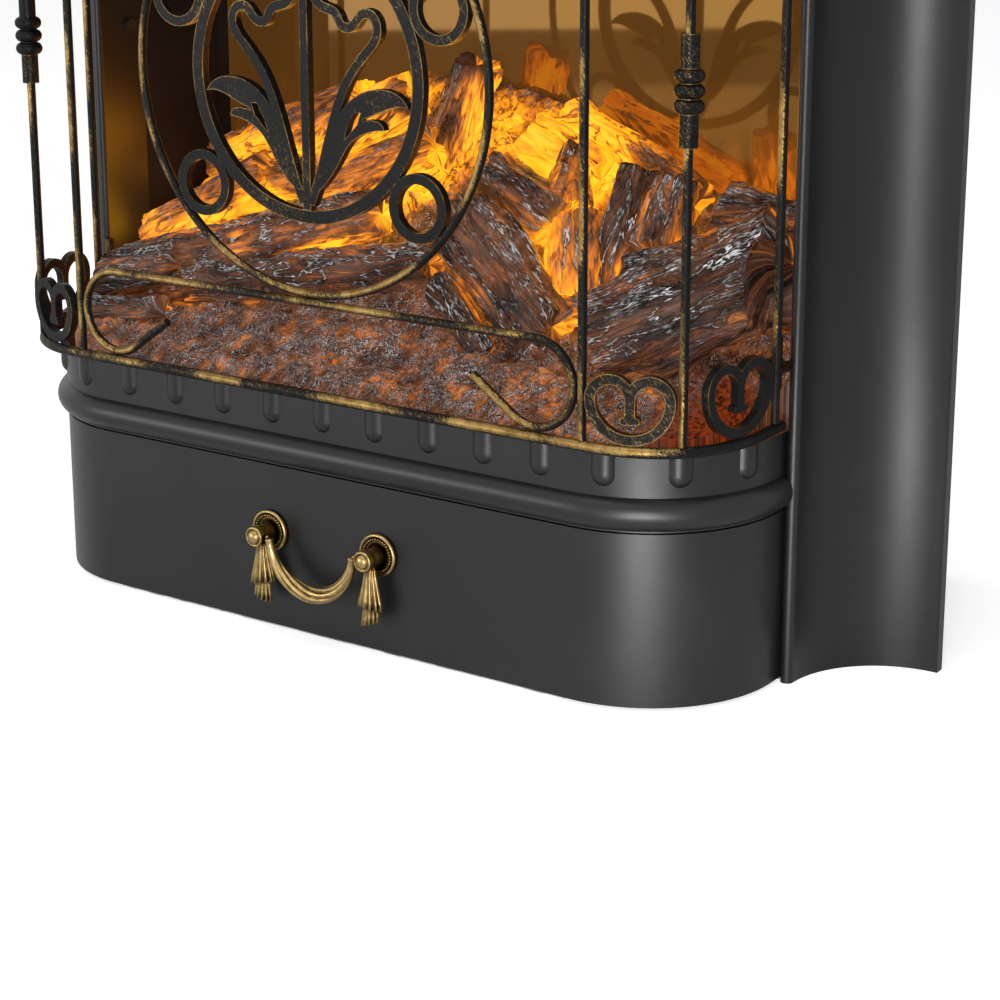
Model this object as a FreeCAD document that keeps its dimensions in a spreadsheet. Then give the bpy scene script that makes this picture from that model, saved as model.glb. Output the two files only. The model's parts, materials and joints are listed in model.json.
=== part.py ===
"""Electric fireplace insert with a bowed base drawer, a bay grille, a lit log bed and a fan heater.

Millimetres. +Z is up, -Y is the front and X runs across. The origin is on the hearth, in the middle of the
width, in the plane where the back of the surround meets the chimney piece.
"""
import FreeCAD, Part
import math
import os
import re
from FreeCAD import Placement, Rotation, Vector

DIMENSIONS = (
    # Surround: a rolled sheet cove on three sides of the opening
    ("face_width", 510, "overall width of the surround"),
    ("face_height", 600, "overall height of the surround"),
    ("cove_radius", 47.3, "radius of the hollow face of the surround"),
    ("nose_radius", 3, "radius of the rounded inner edge"),
    ("hem_depth", 5.2, "depth of the turned outer edge"),
    ("flange_depth", 30, "flange behind the nose"),
    ("sheet", 1.2, "thickness of the steel sheet"),
    ("wing_screw_z", 268, "height of the middle screw of a wing"),
    ("wing_screw_pitch", 150, "distance between the screws of a wing"),
    ("wing_screw_inset", 23, "screw behind the front of the nose"),
    # Casing
    ("case_depth", 119, "casing behind the surround's back plane"),
    ("plate", 1.5, "thickness of the base, hearth and shelf plates"),
    ("tab_width", 14, "rear tabs of the side panels"),
    ("fit_gap", 0.3, "gap between neighbouring pieces"),
    ("rail_leg", 12, "leg of the angle rails"),
    ("fixing_hole_radius", 2.25, "hole for a fixing screw in a side panel"),
    ("fixing_pitch", 300, "distance between the two fixing holes"),
    ("fixing_centre_z", 280, "height of the middle of the fixing holes"),
    ("fixing_y", 20, "fixing holes behind the surround's back plane"),
    ("screw_radius", 1.6, "shank of a sheet metal screw"),
    ("screw_head_radius", 3.4, "head of a sheet metal screw"),
    ("screw_head", 2, "height of a screw head"),
    ("screw_grip", 5, "shank past the sheets that it joins"),
    ("screw_fit", 0.1, "clearance round a screw or bolt"),
    ("rear_screw_margin", 40, "rear screws from the ends of the casing"),
    ("vent_width", 5, "height of a vent slot"),
    ("vent_length", 90, "length of a vent slot"),
    ("vent_pitch", 12, "distance between vent slots"),
    ("vent_rows", 7, "vent slots in a column"),
    ("vent_lift", 15, "lowest vent slot above the heater shelf"),
    # Bowed base
    ("bow_radius", 65, "radius of its rounded corners"),
    ("bow_projection", 72.5, "base in front of the noses"),
    ("panel_sheet", 1.5, "thickness of the bowed sheets"),
    ("floor_gap", 1.5, "drawer front above the hearth"),
    ("drawer_height", 79.2, "height of the drawer front"),
    ("seam_gap", 0.8, "gap between drawer front and moulding"),
    ("torus_radius", 8, "section radius of the half-round moulding"),
    ("torus_bulge", 5, "moulding in front of the sheet"),
    ("band_rise", 27, "top of the band above the moulding's centre"),
    ("rib_pitch", 30, "distance between pressed ribs"),
    ("rib_radius", 6.5, "radius of a pressed rib"),
    ("rib_rise", 2.5, "rib in front of the sheet"),
    ("rib_length", 16.5, "length of a rib"),
    ("rib_corner_start", 14, "angle of the first rib in a corner"),
    ("rib_corner_step", 29.5, "angle between ribs in a corner"),
    ("fascia_tail", 12, "sheet that runs in behind the nose"),
    ("hearth_drop", 19.5, "hearth plate below the top of the band"),
    # Drawer
    ("tray_gap", 15.2, "drawer tray inside the start of the base's corners"),
    ("tray_room", 1, "drawer tray in front of the power module"),
    ("tray_height", 32, "height of the drawer tray"),
    ("tray_wall", 1, "wall of the drawer tray"),
    ("runner_height", 22, "height of a drawer runner"),
    ("runner_ledge", 12, "ledge under the tray"),
    # Swag handle
    ("handle_pitch", 64, "distance between the handle posts"),
    ("handle_z", 48.5, "height of the handle posts"),
    ("rosette_radius", 10.3, "radius of a rosette"),
    ("rosette_thick", 2, "thickness of a rosette"),
    ("rosette_rim", 1.3, "section radius of the rosette's rim"),
    ("post_radius", 4.2, "radius of a handle post"),
    ("post_reach", 15, "end of the post in front of the panel"),
    ("post_dome", 1.8, "height of the domed post end"),
    ("post_cap", 4, "length of the thicker post end"),
    ("post_cap_radius", 4.9, "radius of the thicker post end"),
    ("bolt_radius", 1.9, "bolt that holds a handle post"),
    ("bolt_depth", 5, "bolt inside the post"),
    ("pivot_reach", 10.5, "bail pivot in front of the panel"),
    ("pivot_radius", 1.2, "radius of the bail's pivot pins"),
    ("pivot_fit", 0.05, "running fit of the pins and shafts"),
    ("pivot_depth", 3.4, "pin inside a post"),
    ("bail_drop", 22.8, "lowest point of the bail's centre line under the pivot"),
    ("bail_thick", 4.1, "radius of the bail in the middle"),
    ("bail_thin", 1.9, "radius of the bail at its ends"),
    ("tassel_drop", 33, "tassel's lower end under the post"),
    ("tassel_radius", 5.6, "radius of a tassel's skirt"),
    ("tassel_reach", 6.8, "tassel in front of the panel"),
    # Bay grille
    ("grille_reach", 5, "grille in front of the drawer front"),
    ("grille_gap", 1, "rail centres inside the opening"),
    ("grille_radius", 48, "corner radius of the rails"),
    ("grille_lift", 3.5, "centre of the lower rail above the band"),
    ("rail_radius", 2.5, "radius of the rails"),
    ("wire_radius", 2, "radius of the rods and scroll wires"),
    ("rod_front_gap", 7, "front rods from the start of the rails' corners"),
    ("rod_rear_gap", 8.5, "rear rods in front of the noses"),
    ("curl_radius", 19.5, "end curls of the scroll bars"),
    ("curl_tail", 26, "straight tail of a scroll bar"),
    ("hood_room", 135.3, "upper rail under the top of the opening"),
    ("ring_share", 0.666, "outer radius of the flat ring against the wire circle's"),
    ("ring_stroke", 6, "width of the flat ring"),
    ("small_stroke", 4.6, "width of the small flat rings"),
    ("small_ring_angle", 65.3, "angle between the small rings"),
    ("flat_depth", 4, "depth of the flat ornaments"),
    ("stem_stroke", 4.4, "width of the leaf stems"),
    ("heart_radius", 17.3, "radius of a front heart scroll"),
    ("side_heart_radius", 19.5, "radius of a side heart scroll"),
    ("heart_angle", 18.2, "front heart round the corner of the grille"),
    ("side_heart_angle", 80, "side heart round the corner of the grille"),
    ("heart_stroke", 4.6, "width of a heart scroll"),
    ("heart_tail", 9, "length of the tail in a heart scroll"),
    ("collar_lift", 6, "middle of the collars above the circle's centre"),
    ("collar_radius", 4, "radius of a collar's sleeve"),
    ("collar_length", 46, "length of a collar"),
    ("bead_radius", 3, "section radius of a collar bead"),
    ("bead_ring", 3.4, "ring radius of a collar bead"),
    ("bead_pitch", 6.2, "distance between collar beads"),
    ("hook_z", 146, "top of the lower hanger tabs"),
    ("hook_thick", 2, "thickness of a hanger tab"),
    ("hook_width", 12, "width of a hanger tab"),
    ("pin_radius", 2.4, "hanging pin of the grille"),
    ("pin_below", 9, "pin under its bridge"),
    ("pin_above", 9, "pin above its bridge"),
    ("bridge_height", 4, "bridge between pin and rod"),
    ("lift_room", 26, "free height above the grille"),
    # Log bed
    ("bed_margin", 2.5, "log bed inside the band and the walls"),
    ("ridge_height", 150, "back ridge of the log bed above the hearth plate"),
    ("ember_height", 18.5, "front of the log bed above the hearth plate"),
    ("bed_cavity", 20, "height of the lamp space under the log bed"),
    ("bed_wall", 16, "log bed round the lamp space"),
    # Flame unit
    ("screen_y", 40, "flame screen behind the surround's back plane"),
    ("screen_thick", 3, "thickness of the flame screen"),
    ("channel_lip", 6, "side channels over the edges of the screen"),
    ("baffle_gap", 16, "baffle behind the flame screen"),
    ("baffle_height", 200, "height of the flame baffle"),
    ("flame_slots", 9, "slots in the flame baffle"),
    ("spindle_gap", 30, "flicker spindle in front of the rear cover"),
    ("spindle_rise", 30, "flicker spindle above the hearth plate"),
    ("spindle_radius", 2.5, "shaft of the flicker spindle"),
    ("vane_radius", 20, "reach of the spindle's vanes"),
    ("vane_thick", 1, "thickness of a vane"),
    ("bracket_gap", 28.5, "spindle brackets inside the opening"),
    ("bracket_width", 30, "width of a spindle bracket"),
    ("motor_radius", 15, "flicker motor"),
    ("motor_length", 20, "length of the flicker motor"),
    ("lamp_board_depth", 12, "depth of a lamp board"),
    ("lamp_radius", 2.5, "radius of a lamp"),
    ("lamp_height", 2, "height of a lamp"),
    ("lamp_count", 12, "lamps on a board"),
    # Hood and heater
    ("hood_band", 22, "height of the hood's lower band"),
    ("hood_setback", 44, "top of the hood behind its front"),
    ("outlet_slots", 11, "slots in the outlet grille"),
    ("outlet_slot_width", 5, "width of an outlet slot"),
    ("blower_width", 270, "width of the blower housing"),
    ("blower_height", 72, "height of the blower housing"),
    ("blower_depth", 76, "depth of the blower housing"),
    ("blower_rear_gap", 6, "blower housing in front of the rear cover"),
    ("wheel_radius", 26, "radius of the blower wheel"),
    ("wheel_blades", 14, "blades of the blower wheel"),
    ("wheel_gap", 6, "wheel inside the housing's ends"),
    ("blade_depth", 7, "radial depth of a blade"),
    ("blower_motor_radius", 21, "radius of the blower motor"),
    ("blower_motor_length", 38, "length of the blower motor"),
    ("element_depth", 10, "depth of the heating element"),
    ("element_fins", 15, "fins of the heating element"),
    ("cutout_radius", 9, "thermal cut-out"),
    ("cutout_height", 8, "height of the thermal cut-out"),
    # Controls and electrics
    ("control_setback", 38, "control panel behind the drawer front"),
    ("control_width", 150, "width of the control panel"),
    ("control_height", 44, "height of the control panel"),
    ("button_radius", 5, "radius of a push button"),
    ("button_pitch", 24, "distance between push buttons"),
    ("button_proud", 4, "button in front of the panel"),
    ("button_travel", 1.5, "travel of a push button"),
    ("rocker_width", 14, "width of the rocker"),
    ("rocker_height", 16, "height of the rocker"),
    ("rocker_tilt", 8, "tilt of the rocker at rest"),
    ("rocker_front", 6, "rocker in front of its pivot"),
    ("rocker_back", 3, "rocker behind its pivot"),
    ("bezel", 3, "rim of the rocker's frame"),
    ("board_gap", 12, "control board behind the panel"),
    ("module_width", 110, "width of the power module"),
    ("module_depth", 46, "depth of the power module"),
    ("module_height", 40, "height of the power module"),
    ("gland_inset", 50.5, "cable gland from the side of the opening"),
    ("gland_z", 38, "height of the cable gland"),
    ("gland_bore", 3.6, "bore of the cable gland"),
    ("gland_neck", 7, "neck of the cable gland"),
    ("gland_flange", 10, "flange and nut of the cable gland"),
    ("gland_flange_thick", 4, "thickness of the gland's flange and nut"),
)

PLACES = (
    ("face_half", "face_width / 2"),
    ("lip_x", "face_half - sheet - cove_radius"),
    ("opening_half", "lip_x - 2 * nose_radius"),
    ("gland_x", "gland_inset - opening_half"),
    ("wall_x", "opening_half + sheet"),
    ("case_x", "wall_x + sheet"),
    ("nose_y", "-(hem_depth + cove_radius)"),
    ("nose_front", "nose_y - nose_radius"),
    ("flange_end", "nose_y + flange_depth"),
    ("opening_top", "face_height - sheet - cove_radius - 2 * nose_radius"),
    ("lip_z", "opening_top + 2 * nose_radius"),
    ("case_top", "opening_top + sheet"),
    ("wing_screw_y", "nose_front + wing_screw_inset"),
    ("front_y", "nose_front - bow_projection"),
    ("bow_half", "opening_half - fit_gap"),
    ("corner_x", "bow_half - bow_radius"),
    ("corner_y", "front_y + bow_radius"),
    ("drawer_top", "floor_gap + drawer_height"),
    ("band_bottom", "drawer_top + seam_gap"),
    ("torus_z", "band_bottom + torus_radius"),
    ("torus_sink", "torus_radius - torus_bulge"),
    ("band_top", "torus_z + band_rise"),
    ("rib_sink", "rib_radius - rib_rise"),
    ("rib_z", "band_top - rib_length + rib_radius"),
    ("fascia_rear", "nose_y + fascia_tail"),
    ("hearth_z", "band_top - hearth_drop"),
    ("hearth_top", "hearth_z + plate"),
    ("panel_back", "front_y + panel_sheet"),
    ("tray_half", "corner_x - tray_gap"),
    ("tray_z", "plate + sheet + fit_gap"),
    ("post_x", "handle_pitch / 2"),
    ("post_end", "front_y - post_reach"),
    ("pivot_y", "front_y - pivot_reach"),
    ("grille_y", "front_y - grille_reach"),
    ("grille_half", "opening_half - grille_gap"),
    ("grille_corner_x", "grille_half - grille_radius"),
    ("grille_corner_y", "grille_y + grille_radius"),
    ("grille_end", "nose_front - rail_radius"),
    ("rail_z", "band_top + grille_lift"),
    ("rod_front_x", "grille_corner_x - rod_front_gap"),
    ("curl_x", "rod_front_x - 2 * wire_radius - curl_radius"),
    ("curl_z", "rail_z + rail_radius + wire_radius + curl_radius"),
    ("upper_rail_z", "opening_top - hood_room"),
    ("circle_z", "(rail_z + upper_rail_z) / 2"),
    ("circle_radius", "circle_z - curl_z - curl_radius - 2 * wire_radius"),
    ("ring_outer", "ring_share * circle_radius"),
    ("collar_z", "circle_z + collar_lift"),
    ("small_outer", "(circle_radius - wire_radius - ring_outer) / 2"),
    ("small_orbit", "ring_outer + small_outer"),
    ("rod_side_x", "grille_corner_x + grille_radius * cos(45)"),
    ("rod_side_y", "grille_corner_y - grille_radius * sin(45)"),
    ("rod_rear_y", "nose_front - rod_rear_gap"),
    ("pin_x", "opening_half - hook_width / 3"),
    ("pin_y", "nose_front - pin_radius"),
    ("hood_bottom", "upper_rail_z + rail_radius + lift_room"),
    ("hood_torus_z", "hood_bottom + hood_band + torus_radius"),
    ("shelf_top", "hood_bottom + plate"),
    ("vent_z", "shelf_top + vent_lift"),
    ("bed_half", "opening_half - bed_margin - screw_head"),
    ("bracket_x", "opening_half - bracket_gap"),
    ("spindle_y", "case_depth - spindle_gap"),
    ("spindle_z", "hearth_top + spindle_rise"),
    ("baffle_y", "screen_y + screen_thick + baffle_gap"),
    ("blower_half", "blower_width / 2"),
    ("blower_back", "case_depth - blower_rear_gap"),
    ("blower_front", "blower_back - blower_depth"),
    ("wheel_y", "blower_back - sheet - wheel_radius - wheel_gap"),
    ("wheel_z", "shelf_top + blower_height / 2"),
    ("control_y", "front_y + control_setback"),
    ("control_low", "hearth_z - control_height"),
    ("button_z", "hearth_z - control_height / 2"),
    ("board_y", "control_y + sheet + board_gap"),
    ("rocker_x", "-control_width / 4"),
    ("rocker_y", "control_y + rocker_back"),
    ("module_y", "case_depth - module_depth - tab_width"),
    ("tray_rear", "module_y - tray_room"),
)

HALF_TURN = 180
QUARTER_TURN = 90
TURNS = {
    "X": Rotation(Vector(0, 1, 0), QUARTER_TURN),
    "-Y": Rotation(Vector(1, 0, 0), QUARTER_TURN),
    "Y": Rotation(Vector(1, 0, 0), -QUARTER_TURN),
    "Z": Rotation(),
}

doc = FreeCAD.newDocument("fireplace_insert")
homes = {}
sub_parts = []


# Sheets, and the small tools that bind every solid to them

def bound(formula):
    """The formula with each size name pointed at the sheet that holds it."""
    return re.sub(r"[a-z_]\w*", lambda word: homes.get(word.group(), word.group()), str(formula))


def fill_sheets():
    """Write the driving sizes as plain numbers, and the places worked out from them as formulas."""
    sizes = doc.addObject("Spreadsheet::Sheet", "Sizes")
    places = doc.addObject("Spreadsheet::Sheet", "Places")
    for row, (alias, value, note) in enumerate(DIMENSIONS, 1):
        sizes.set("A%d" % row, note)
        sizes.set("B%d" % row, str(value))
        sizes.setAlias("B%d" % row, alias)
        homes[alias] = "Sizes." + alias
    for row, (alias, formula) in enumerate(PLACES, 1):
        places.set("A%d" % row, alias)
        places.set("B%d" % row, "=" + bound(formula))
        places.setAlias("B%d" % row, alias)
        homes[alias] = "Places." + alias
    doc.recompute()
    return sizes, places


sizes, places = fill_sheets()


def mm(alias):
    """The value that a sheet holds now."""
    return float((sizes if homes[alias].startswith("Sizes") else places).get(alias))


def put(obj, at, turn=None):
    """Set the turn of an object and bind its place."""
    if turn is not None:
        obj.Placement = Placement(Vector(), turn)
    for axis, formula in zip("xyz", at):
        obj.setExpression("Placement.Base." + axis, bound(formula))
    return obj


def bind(obj, **formulas):
    for name, formula in formulas.items():
        obj.setExpression(name, bound(formula))
    return obj


def box(name, low, high):
    """A block between two corners."""
    obj = doc.addObject("Part::Box", name)
    spans = ["(%s) - (%s)" % (top, bottom) for bottom, top in zip(low, high)]
    bind(obj, Length=spans[0], Width=spans[1], Height=spans[2])
    return put(obj, low)


def rod(name, radius, length, at, axis="Z"):
    obj = doc.addObject("Part::Cylinder", name)
    bind(obj, Radius=radius, Height=length)
    return put(obj, at, TURNS[axis])


def ball(name, radius, at):
    obj = doc.addObject("Part::Sphere", name)
    bind(obj, Radius=radius)
    return put(obj, at)


def hoop(name, ring, section, at, axis="Z", start=0, sweep=360):
    """A round bar bent to an arc."""
    obj = doc.addObject("Part::Torus", name)
    bind(obj, Radius1=ring, Radius2=section, Angle3=sweep)
    return put(obj, at, TURNS[axis] * Rotation(Vector(0, 0, 1), start))


def fuse(name, *pieces):
    obj = doc.addObject("Part::MultiFuse", name)
    obj.Shapes = list(pieces)
    obj.Refine = True
    return obj


def group(name, *pieces):
    """Pieces that stay separate solids in one sub-part."""
    obj = doc.addObject("Part::Compound", name)
    obj.Links = list(pieces)
    return obj


def cut(name, base, *tools):
    obj = doc.addObject("Part::Cut", name)
    obj.Base = base
    obj.Tool = tools[0] if len(tools) == 1 else fuse(name + "_tools", *tools)
    return obj


def sector(name, outer, inner, length, at, axis="Z", start=0, sweep=360):
    """A ring of rectangular section, or an arc of one."""
    turn = TURNS[axis] * Rotation(Vector(0, 0, 1), start)
    solids = []
    for suffix, radius in (("_outer", outer), ("_inner", inner)):
        obj = doc.addObject("Part::Cylinder", name + suffix)
        bind(obj, Radius=radius, Height=length, Angle=sweep)
        solids.append(put(obj, at, turn))
    return cut(name, *solids)


def mirror(name, source, normal=(1, 0, 0), base=None):
    """The image of an object in the middle plane, or in a plane whose height is bound."""
    obj = doc.addObject("Part::Mirroring", name)
    obj.Source = source
    obj.Normal = Vector(*normal)
    if base:
        obj.setExpression("Base.z", bound(base))
    return obj


def pair(name, source):
    return group(name, source, mirror(name + "_left", source))


def part(label, obj):
    """Name a finished sub-part."""
    obj.Label = label
    sub_parts.append(obj)
    return obj


def shaped(name, shape, at=("0", "0", "0")):
    """A solid made by Part's own functions, for lofts and curved bars."""
    obj = doc.addObject("Part::Feature", name)
    obj.Shape = shape
    return put(obj, at)


def bow_solid(name, inset, low, high, rear):
    """The base's bowed plan as a block: straight front, rounded corners and straight sides."""
    front = "front_y + (%s)" % inset
    side = "bow_half - (%s)" % inset
    middle = box(name + "_middle", ("-corner_x", front, low), ("corner_x", rear, high))
    sides = box(name + "_sides", ("-(%s)" % side, "corner_y", low), (side, rear, high))
    corners = [
        rod(name + "_corner_" + end, "bow_radius - (%s)" % inset, "(%s) - (%s)" % (high, low),
            (sign + "corner_x", "corner_y", low))
        for end, sign in (("left", "-"), ("right", ""))
    ]
    return fuse(name, middle, sides, *corners)


def bow_shell(name, low, high, rear):
    """A sheet bent to the bowed plan."""
    outer = bow_solid(name + "_outer", "0", low, high, rear)
    inner = bow_solid(name + "_inner", "panel_sheet", "(%s) - plate" % low, "(%s) + plate" % high,
                      "(%s) + plate" % rear)
    behind = box(name + "_behind", ("-face_half", rear, "(%s) - plate" % low),
                 ("face_half", "case_depth", "(%s) + plate" % high))
    return cut(name, outer, inner, behind)


def bow_moulding(name, height):
    """The half-round bar that runs round the bowed plan, as full round bars."""
    straight = rod(name + "_front", "torus_radius", "2 * corner_x",
                   ("-corner_x", "front_y + torus_sink", height), "X")
    corner = hoop(name + "_corner", "bow_radius - torus_sink", "torus_radius",
                  ("corner_x", "corner_y", height), "Z", -QUARTER_TURN, QUARTER_TURN)
    side = rod(name + "_side", "torus_radius", "nose_front - fit_gap - corner_y",
               ("bow_half - torus_sink", "corner_y", height), "Y")
    return [straight, corner, mirror(name + "_corner_left", corner), side, mirror(name + "_side_left", side)]


# Surround and casing

def wing_screw_heights():
    return ["wing_screw_z + (%d) * wing_screw_pitch" % step for step in (-1, 0, 1)]


def surround():
    flange = box("wing_flange", ("opening_half", "nose_y", "0"), ("wall_x", "flange_end", "face_height"))
    nose = sector("wing_nose", "nose_radius", "nose_radius - sheet", "face_height",
                  ("opening_half + nose_radius", "nose_y", "0"), "Z", HALF_TURN, HALF_TURN)
    cove = sector("wing_cove", "cove_radius + sheet", "cove_radius", "face_height",
                  ("lip_x + cove_radius", "nose_y", "0"), "Z", QUARTER_TURN, QUARTER_TURN)
    hem = box("wing_hem", ("face_half - sheet", "-hem_depth", "0"), ("face_half", "0", "face_height"))
    mitres = {}
    for piece, angle in (("wing", -45), ("top", 45)):
        mitre = box(piece + "_mitre", ("0", "0", "0"), ("face_width", "face_width", "face_width"))
        corner = ("opening_half - nose_radius", "-face_half", "opening_top - nose_radius")
        mitres[piece] = put(mitre, corner, Rotation(Vector(0, 1, 0), angle))
    holes = [
        rod("wing_hole_%d" % count, "screw_radius + screw_fit", "4 * sheet",
            ("opening_half - sheet", "wing_screw_y", height), "X")
        for count, height in enumerate(wing_screw_heights())
    ]
    right = cut("right_wing", fuse("right_wing_sheet", flange, nose, cove, hem), mitres["wing"], *holes)
    part("right_surround_wing", right)
    part("left_surround_wing", mirror("left_wing", right))

    top_flange = box("top_flange", ("-face_half", "nose_y", "opening_top"),
                     ("face_half", "flange_end", "case_top"))
    top_nose = sector("top_nose", "nose_radius", "nose_radius - sheet", "face_width",
                      ("-face_half", "nose_y", "opening_top + nose_radius"), "X", HALF_TURN, HALF_TURN)
    top_cove = sector("top_cove", "cove_radius + sheet", "cove_radius", "face_width",
                      ("-face_half", "nose_y", "lip_z + cove_radius"), "X", 0, QUARTER_TURN)
    top_hem = box("top_hem", ("-face_half", "-hem_depth", "face_height - sheet"),
                  ("face_half", "0", "face_height"))
    top_sheet = fuse("top_sheet", top_flange, top_nose, top_cove, top_hem)
    part("top_surround_cove",
         cut("top_cove_mitred", top_sheet, mitres["top"], mirror("top_mitre_left", mitres["top"])))

    screws = []
    for count, height in enumerate(wing_screw_heights()):
        head = rod("wing_screw_head_%d" % count, "screw_head_radius", "screw_head",
                   ("opening_half - screw_head", "wing_screw_y", height), "X")
        shank = rod("wing_screw_shank_%d" % count, "screw_radius", "2 * sheet + screw_grip / 2",
                    ("opening_half", "wing_screw_y", height), "X")
        screws.append(fuse("wing_screw_%d" % count, head, shank))
    part("wing_screws", pair("wing_screw_pairs", group("wing_screws_right", *screws)))


def rear_screw_heights():
    return ("rear_screw_margin", "case_top / 2", "case_top - rear_screw_margin")


def casing():
    base = box("base_main", ("-case_x", "flange_end + fit_gap", "0"), ("case_x", "case_depth", "plate"))
    throat = box("base_throat", ("-(opening_half - fit_gap)", "nose_y + fit_gap", "0"),
                 ("opening_half - fit_gap", "case_depth", "plate"))
    tongue = box("base_tongue", ("-(tray_half + runner_ledge)", "panel_back + fit_gap", "0"),
                 ("tray_half + runner_ledge", "case_depth", "plate"))
    part("base_plate", fuse("base_plate_sheet", base, throat, tongue))

    wall = box("side_wall", ("wall_x", "nose_y + sheet", "plate"), ("case_x", "case_depth", "case_top"))
    tab = box("side_tab", ("wall_x - tab_width", "case_depth - sheet", "plate"),
              ("wall_x", "case_depth", "case_top"))
    holes = []
    for count, sign in enumerate("-+"):
        height = "fixing_centre_z %s fixing_pitch / 2" % sign
        holes.append(rod("fixing_hole_%d" % count, "fixing_hole_radius", "3 * sheet",
                         ("wall_x - sheet", "fixing_y", height), "X"))
    for count, height in enumerate(wing_screw_heights()):
        holes.append(rod("wall_hole_%d" % count, "screw_radius + screw_fit", "3 * sheet",
                         ("wall_x - sheet", "wing_screw_y", height), "X"))
    for count, height in enumerate(rear_screw_heights()):
        holes.append(rod("tab_hole_%d" % count, "screw_radius + screw_fit", "3 * sheet",
                         ("wall_x - tab_width / 2", "case_depth - 2 * sheet", height), "Y"))
    right = cut("right_wall", fuse("right_wall_sheet", wall, tab), *holes)
    part("right_side_panel", right)
    part("left_side_panel", mirror("left_wall", right))
    part("top_panel", box("top_sheet_panel", ("-case_x", "nose_y + sheet", "case_top"),
                          ("case_x", "case_depth", "case_top + sheet")))

    cover = box("cover_sheet", ("-case_x", "case_depth", "0"),
                ("case_x", "case_depth + sheet", "case_top + sheet"))
    gland_hole = rod("gland_hole", "gland_neck + screw_fit", "3 * sheet",
                     ("gland_x", "case_depth - sheet", "gland_z"), "Y")
    openings = [gland_hole]
    for row in range(int(mm("vent_rows"))):
        low = "vent_z + %d * vent_pitch" % row
        for column, left in enumerate(("-1.2 * vent_length", "0.2 * vent_length")):
            openings.append(box("vent_%d_%d" % (row, column), (left, "case_depth - sheet", low),
                                ("(%s) + vent_length" % left, "case_depth + 2 * sheet",
                                 "(%s) + vent_width" % low)))
    screws = []
    for count, height in enumerate(rear_screw_heights()):
        for side, sign in (("left", "-"), ("right", "")):
            across = sign + "(wall_x - tab_width / 2)"
            name = "rear_%s_%d" % (side, count)
            openings.append(rod(name + "_hole", "screw_radius + screw_fit", "3 * sheet",
                                (across, "case_depth - sheet", height), "Y"))
            head = rod(name + "_head", "screw_head_radius", "screw_head",
                       (across, "case_depth + sheet", height), "Y")
            shank = rod(name + "_shank", "screw_radius", "2 * sheet + screw_grip",
                        (across, "case_depth - sheet - screw_grip", height), "Y")
            screws.append(fuse(name + "_screw", head, shank))
    part("rear_cover", cut("rear_cover_sheet", cover, *openings))
    part("rear_cover_screws", group("rear_screws", *screws))


def angle_rail(name, height):
    """An angle on a side panel that carries a plate at the given height."""
    start, end = "flange_end + sheet", "case_depth - 2 * sheet"
    upright = box(name + "_upright", ("wall_x - sheet", start, "(%s) - rail_leg" % height),
                  ("wall_x", end, height))
    ledge = box(name + "_ledge", ("wall_x - rail_leg", start, "(%s) - sheet" % height),
                ("wall_x", end, height))
    return pair(name, fuse(name + "_right", upright, ledge))


# Bowed base and drawer

def rib(name, across, along):
    """A pressed rib: a round upright with a round lower end."""
    body = rod(name + "_body", "rib_radius", "band_top - rib_z", (across, along, "rib_z"))
    return [body, ball(name + "_end", "rib_radius", (across, along, "rib_z"))]


def base_fascia():
    ribs = []
    for step in range(int(mm("corner_x") // mm("rib_pitch")) + 1):
        for sign in ("-", "")[: 2 if step else 1]:
            ribs += rib("rib_%s%d" % ("l" if sign else "r", step), "%s%d * rib_pitch" % (sign, step),
                        "front_y + rib_sink")
    for step in range(3):
        angle = "(rib_corner_start + %d * rib_corner_step)" % step
        reach = "(bow_radius - rib_sink)"
        for sign in ("-", ""):
            ribs += rib("corner_rib_%s%d" % ("l" if sign else "r", step),
                        "%s(corner_x + %s * sin(%s))" % (sign, reach, angle),
                        "corner_y - %s * cos(%s)" % (reach, angle))
    inside = bow_solid("fascia_inside", "panel_sheet", "band_bottom - plate", "band_top + plate",
                       "case_depth")
    bars = cut("fascia_bars", fuse("fascia_round_bars", *bow_moulding("base_moulding", "torus_z")), inside)
    pressed = cut("fascia_ribs", fuse("fascia_round_ribs", *ribs), inside)
    band = bow_shell("band", "band_bottom", "band_top", "fascia_rear")
    part("base_fascia", fuse("fascia", band, bars, pressed))


def hearth():
    front = bow_solid("hearth_front", "panel_sheet", "hearth_z", "hearth_top",
                      "fascia_rear + fit_gap + plate")
    rear = box("hearth_rear", ("-(opening_half - fit_gap)", "fascia_rear + fit_gap", "hearth_z"),
               ("opening_half - fit_gap", "case_depth - sheet - fit_gap", "hearth_top"))
    part("hearth_plate", fuse("hearth_sheet", front, rear))
    part("hearth_rails", angle_rail("hearth_rail", "hearth_z"))


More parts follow.
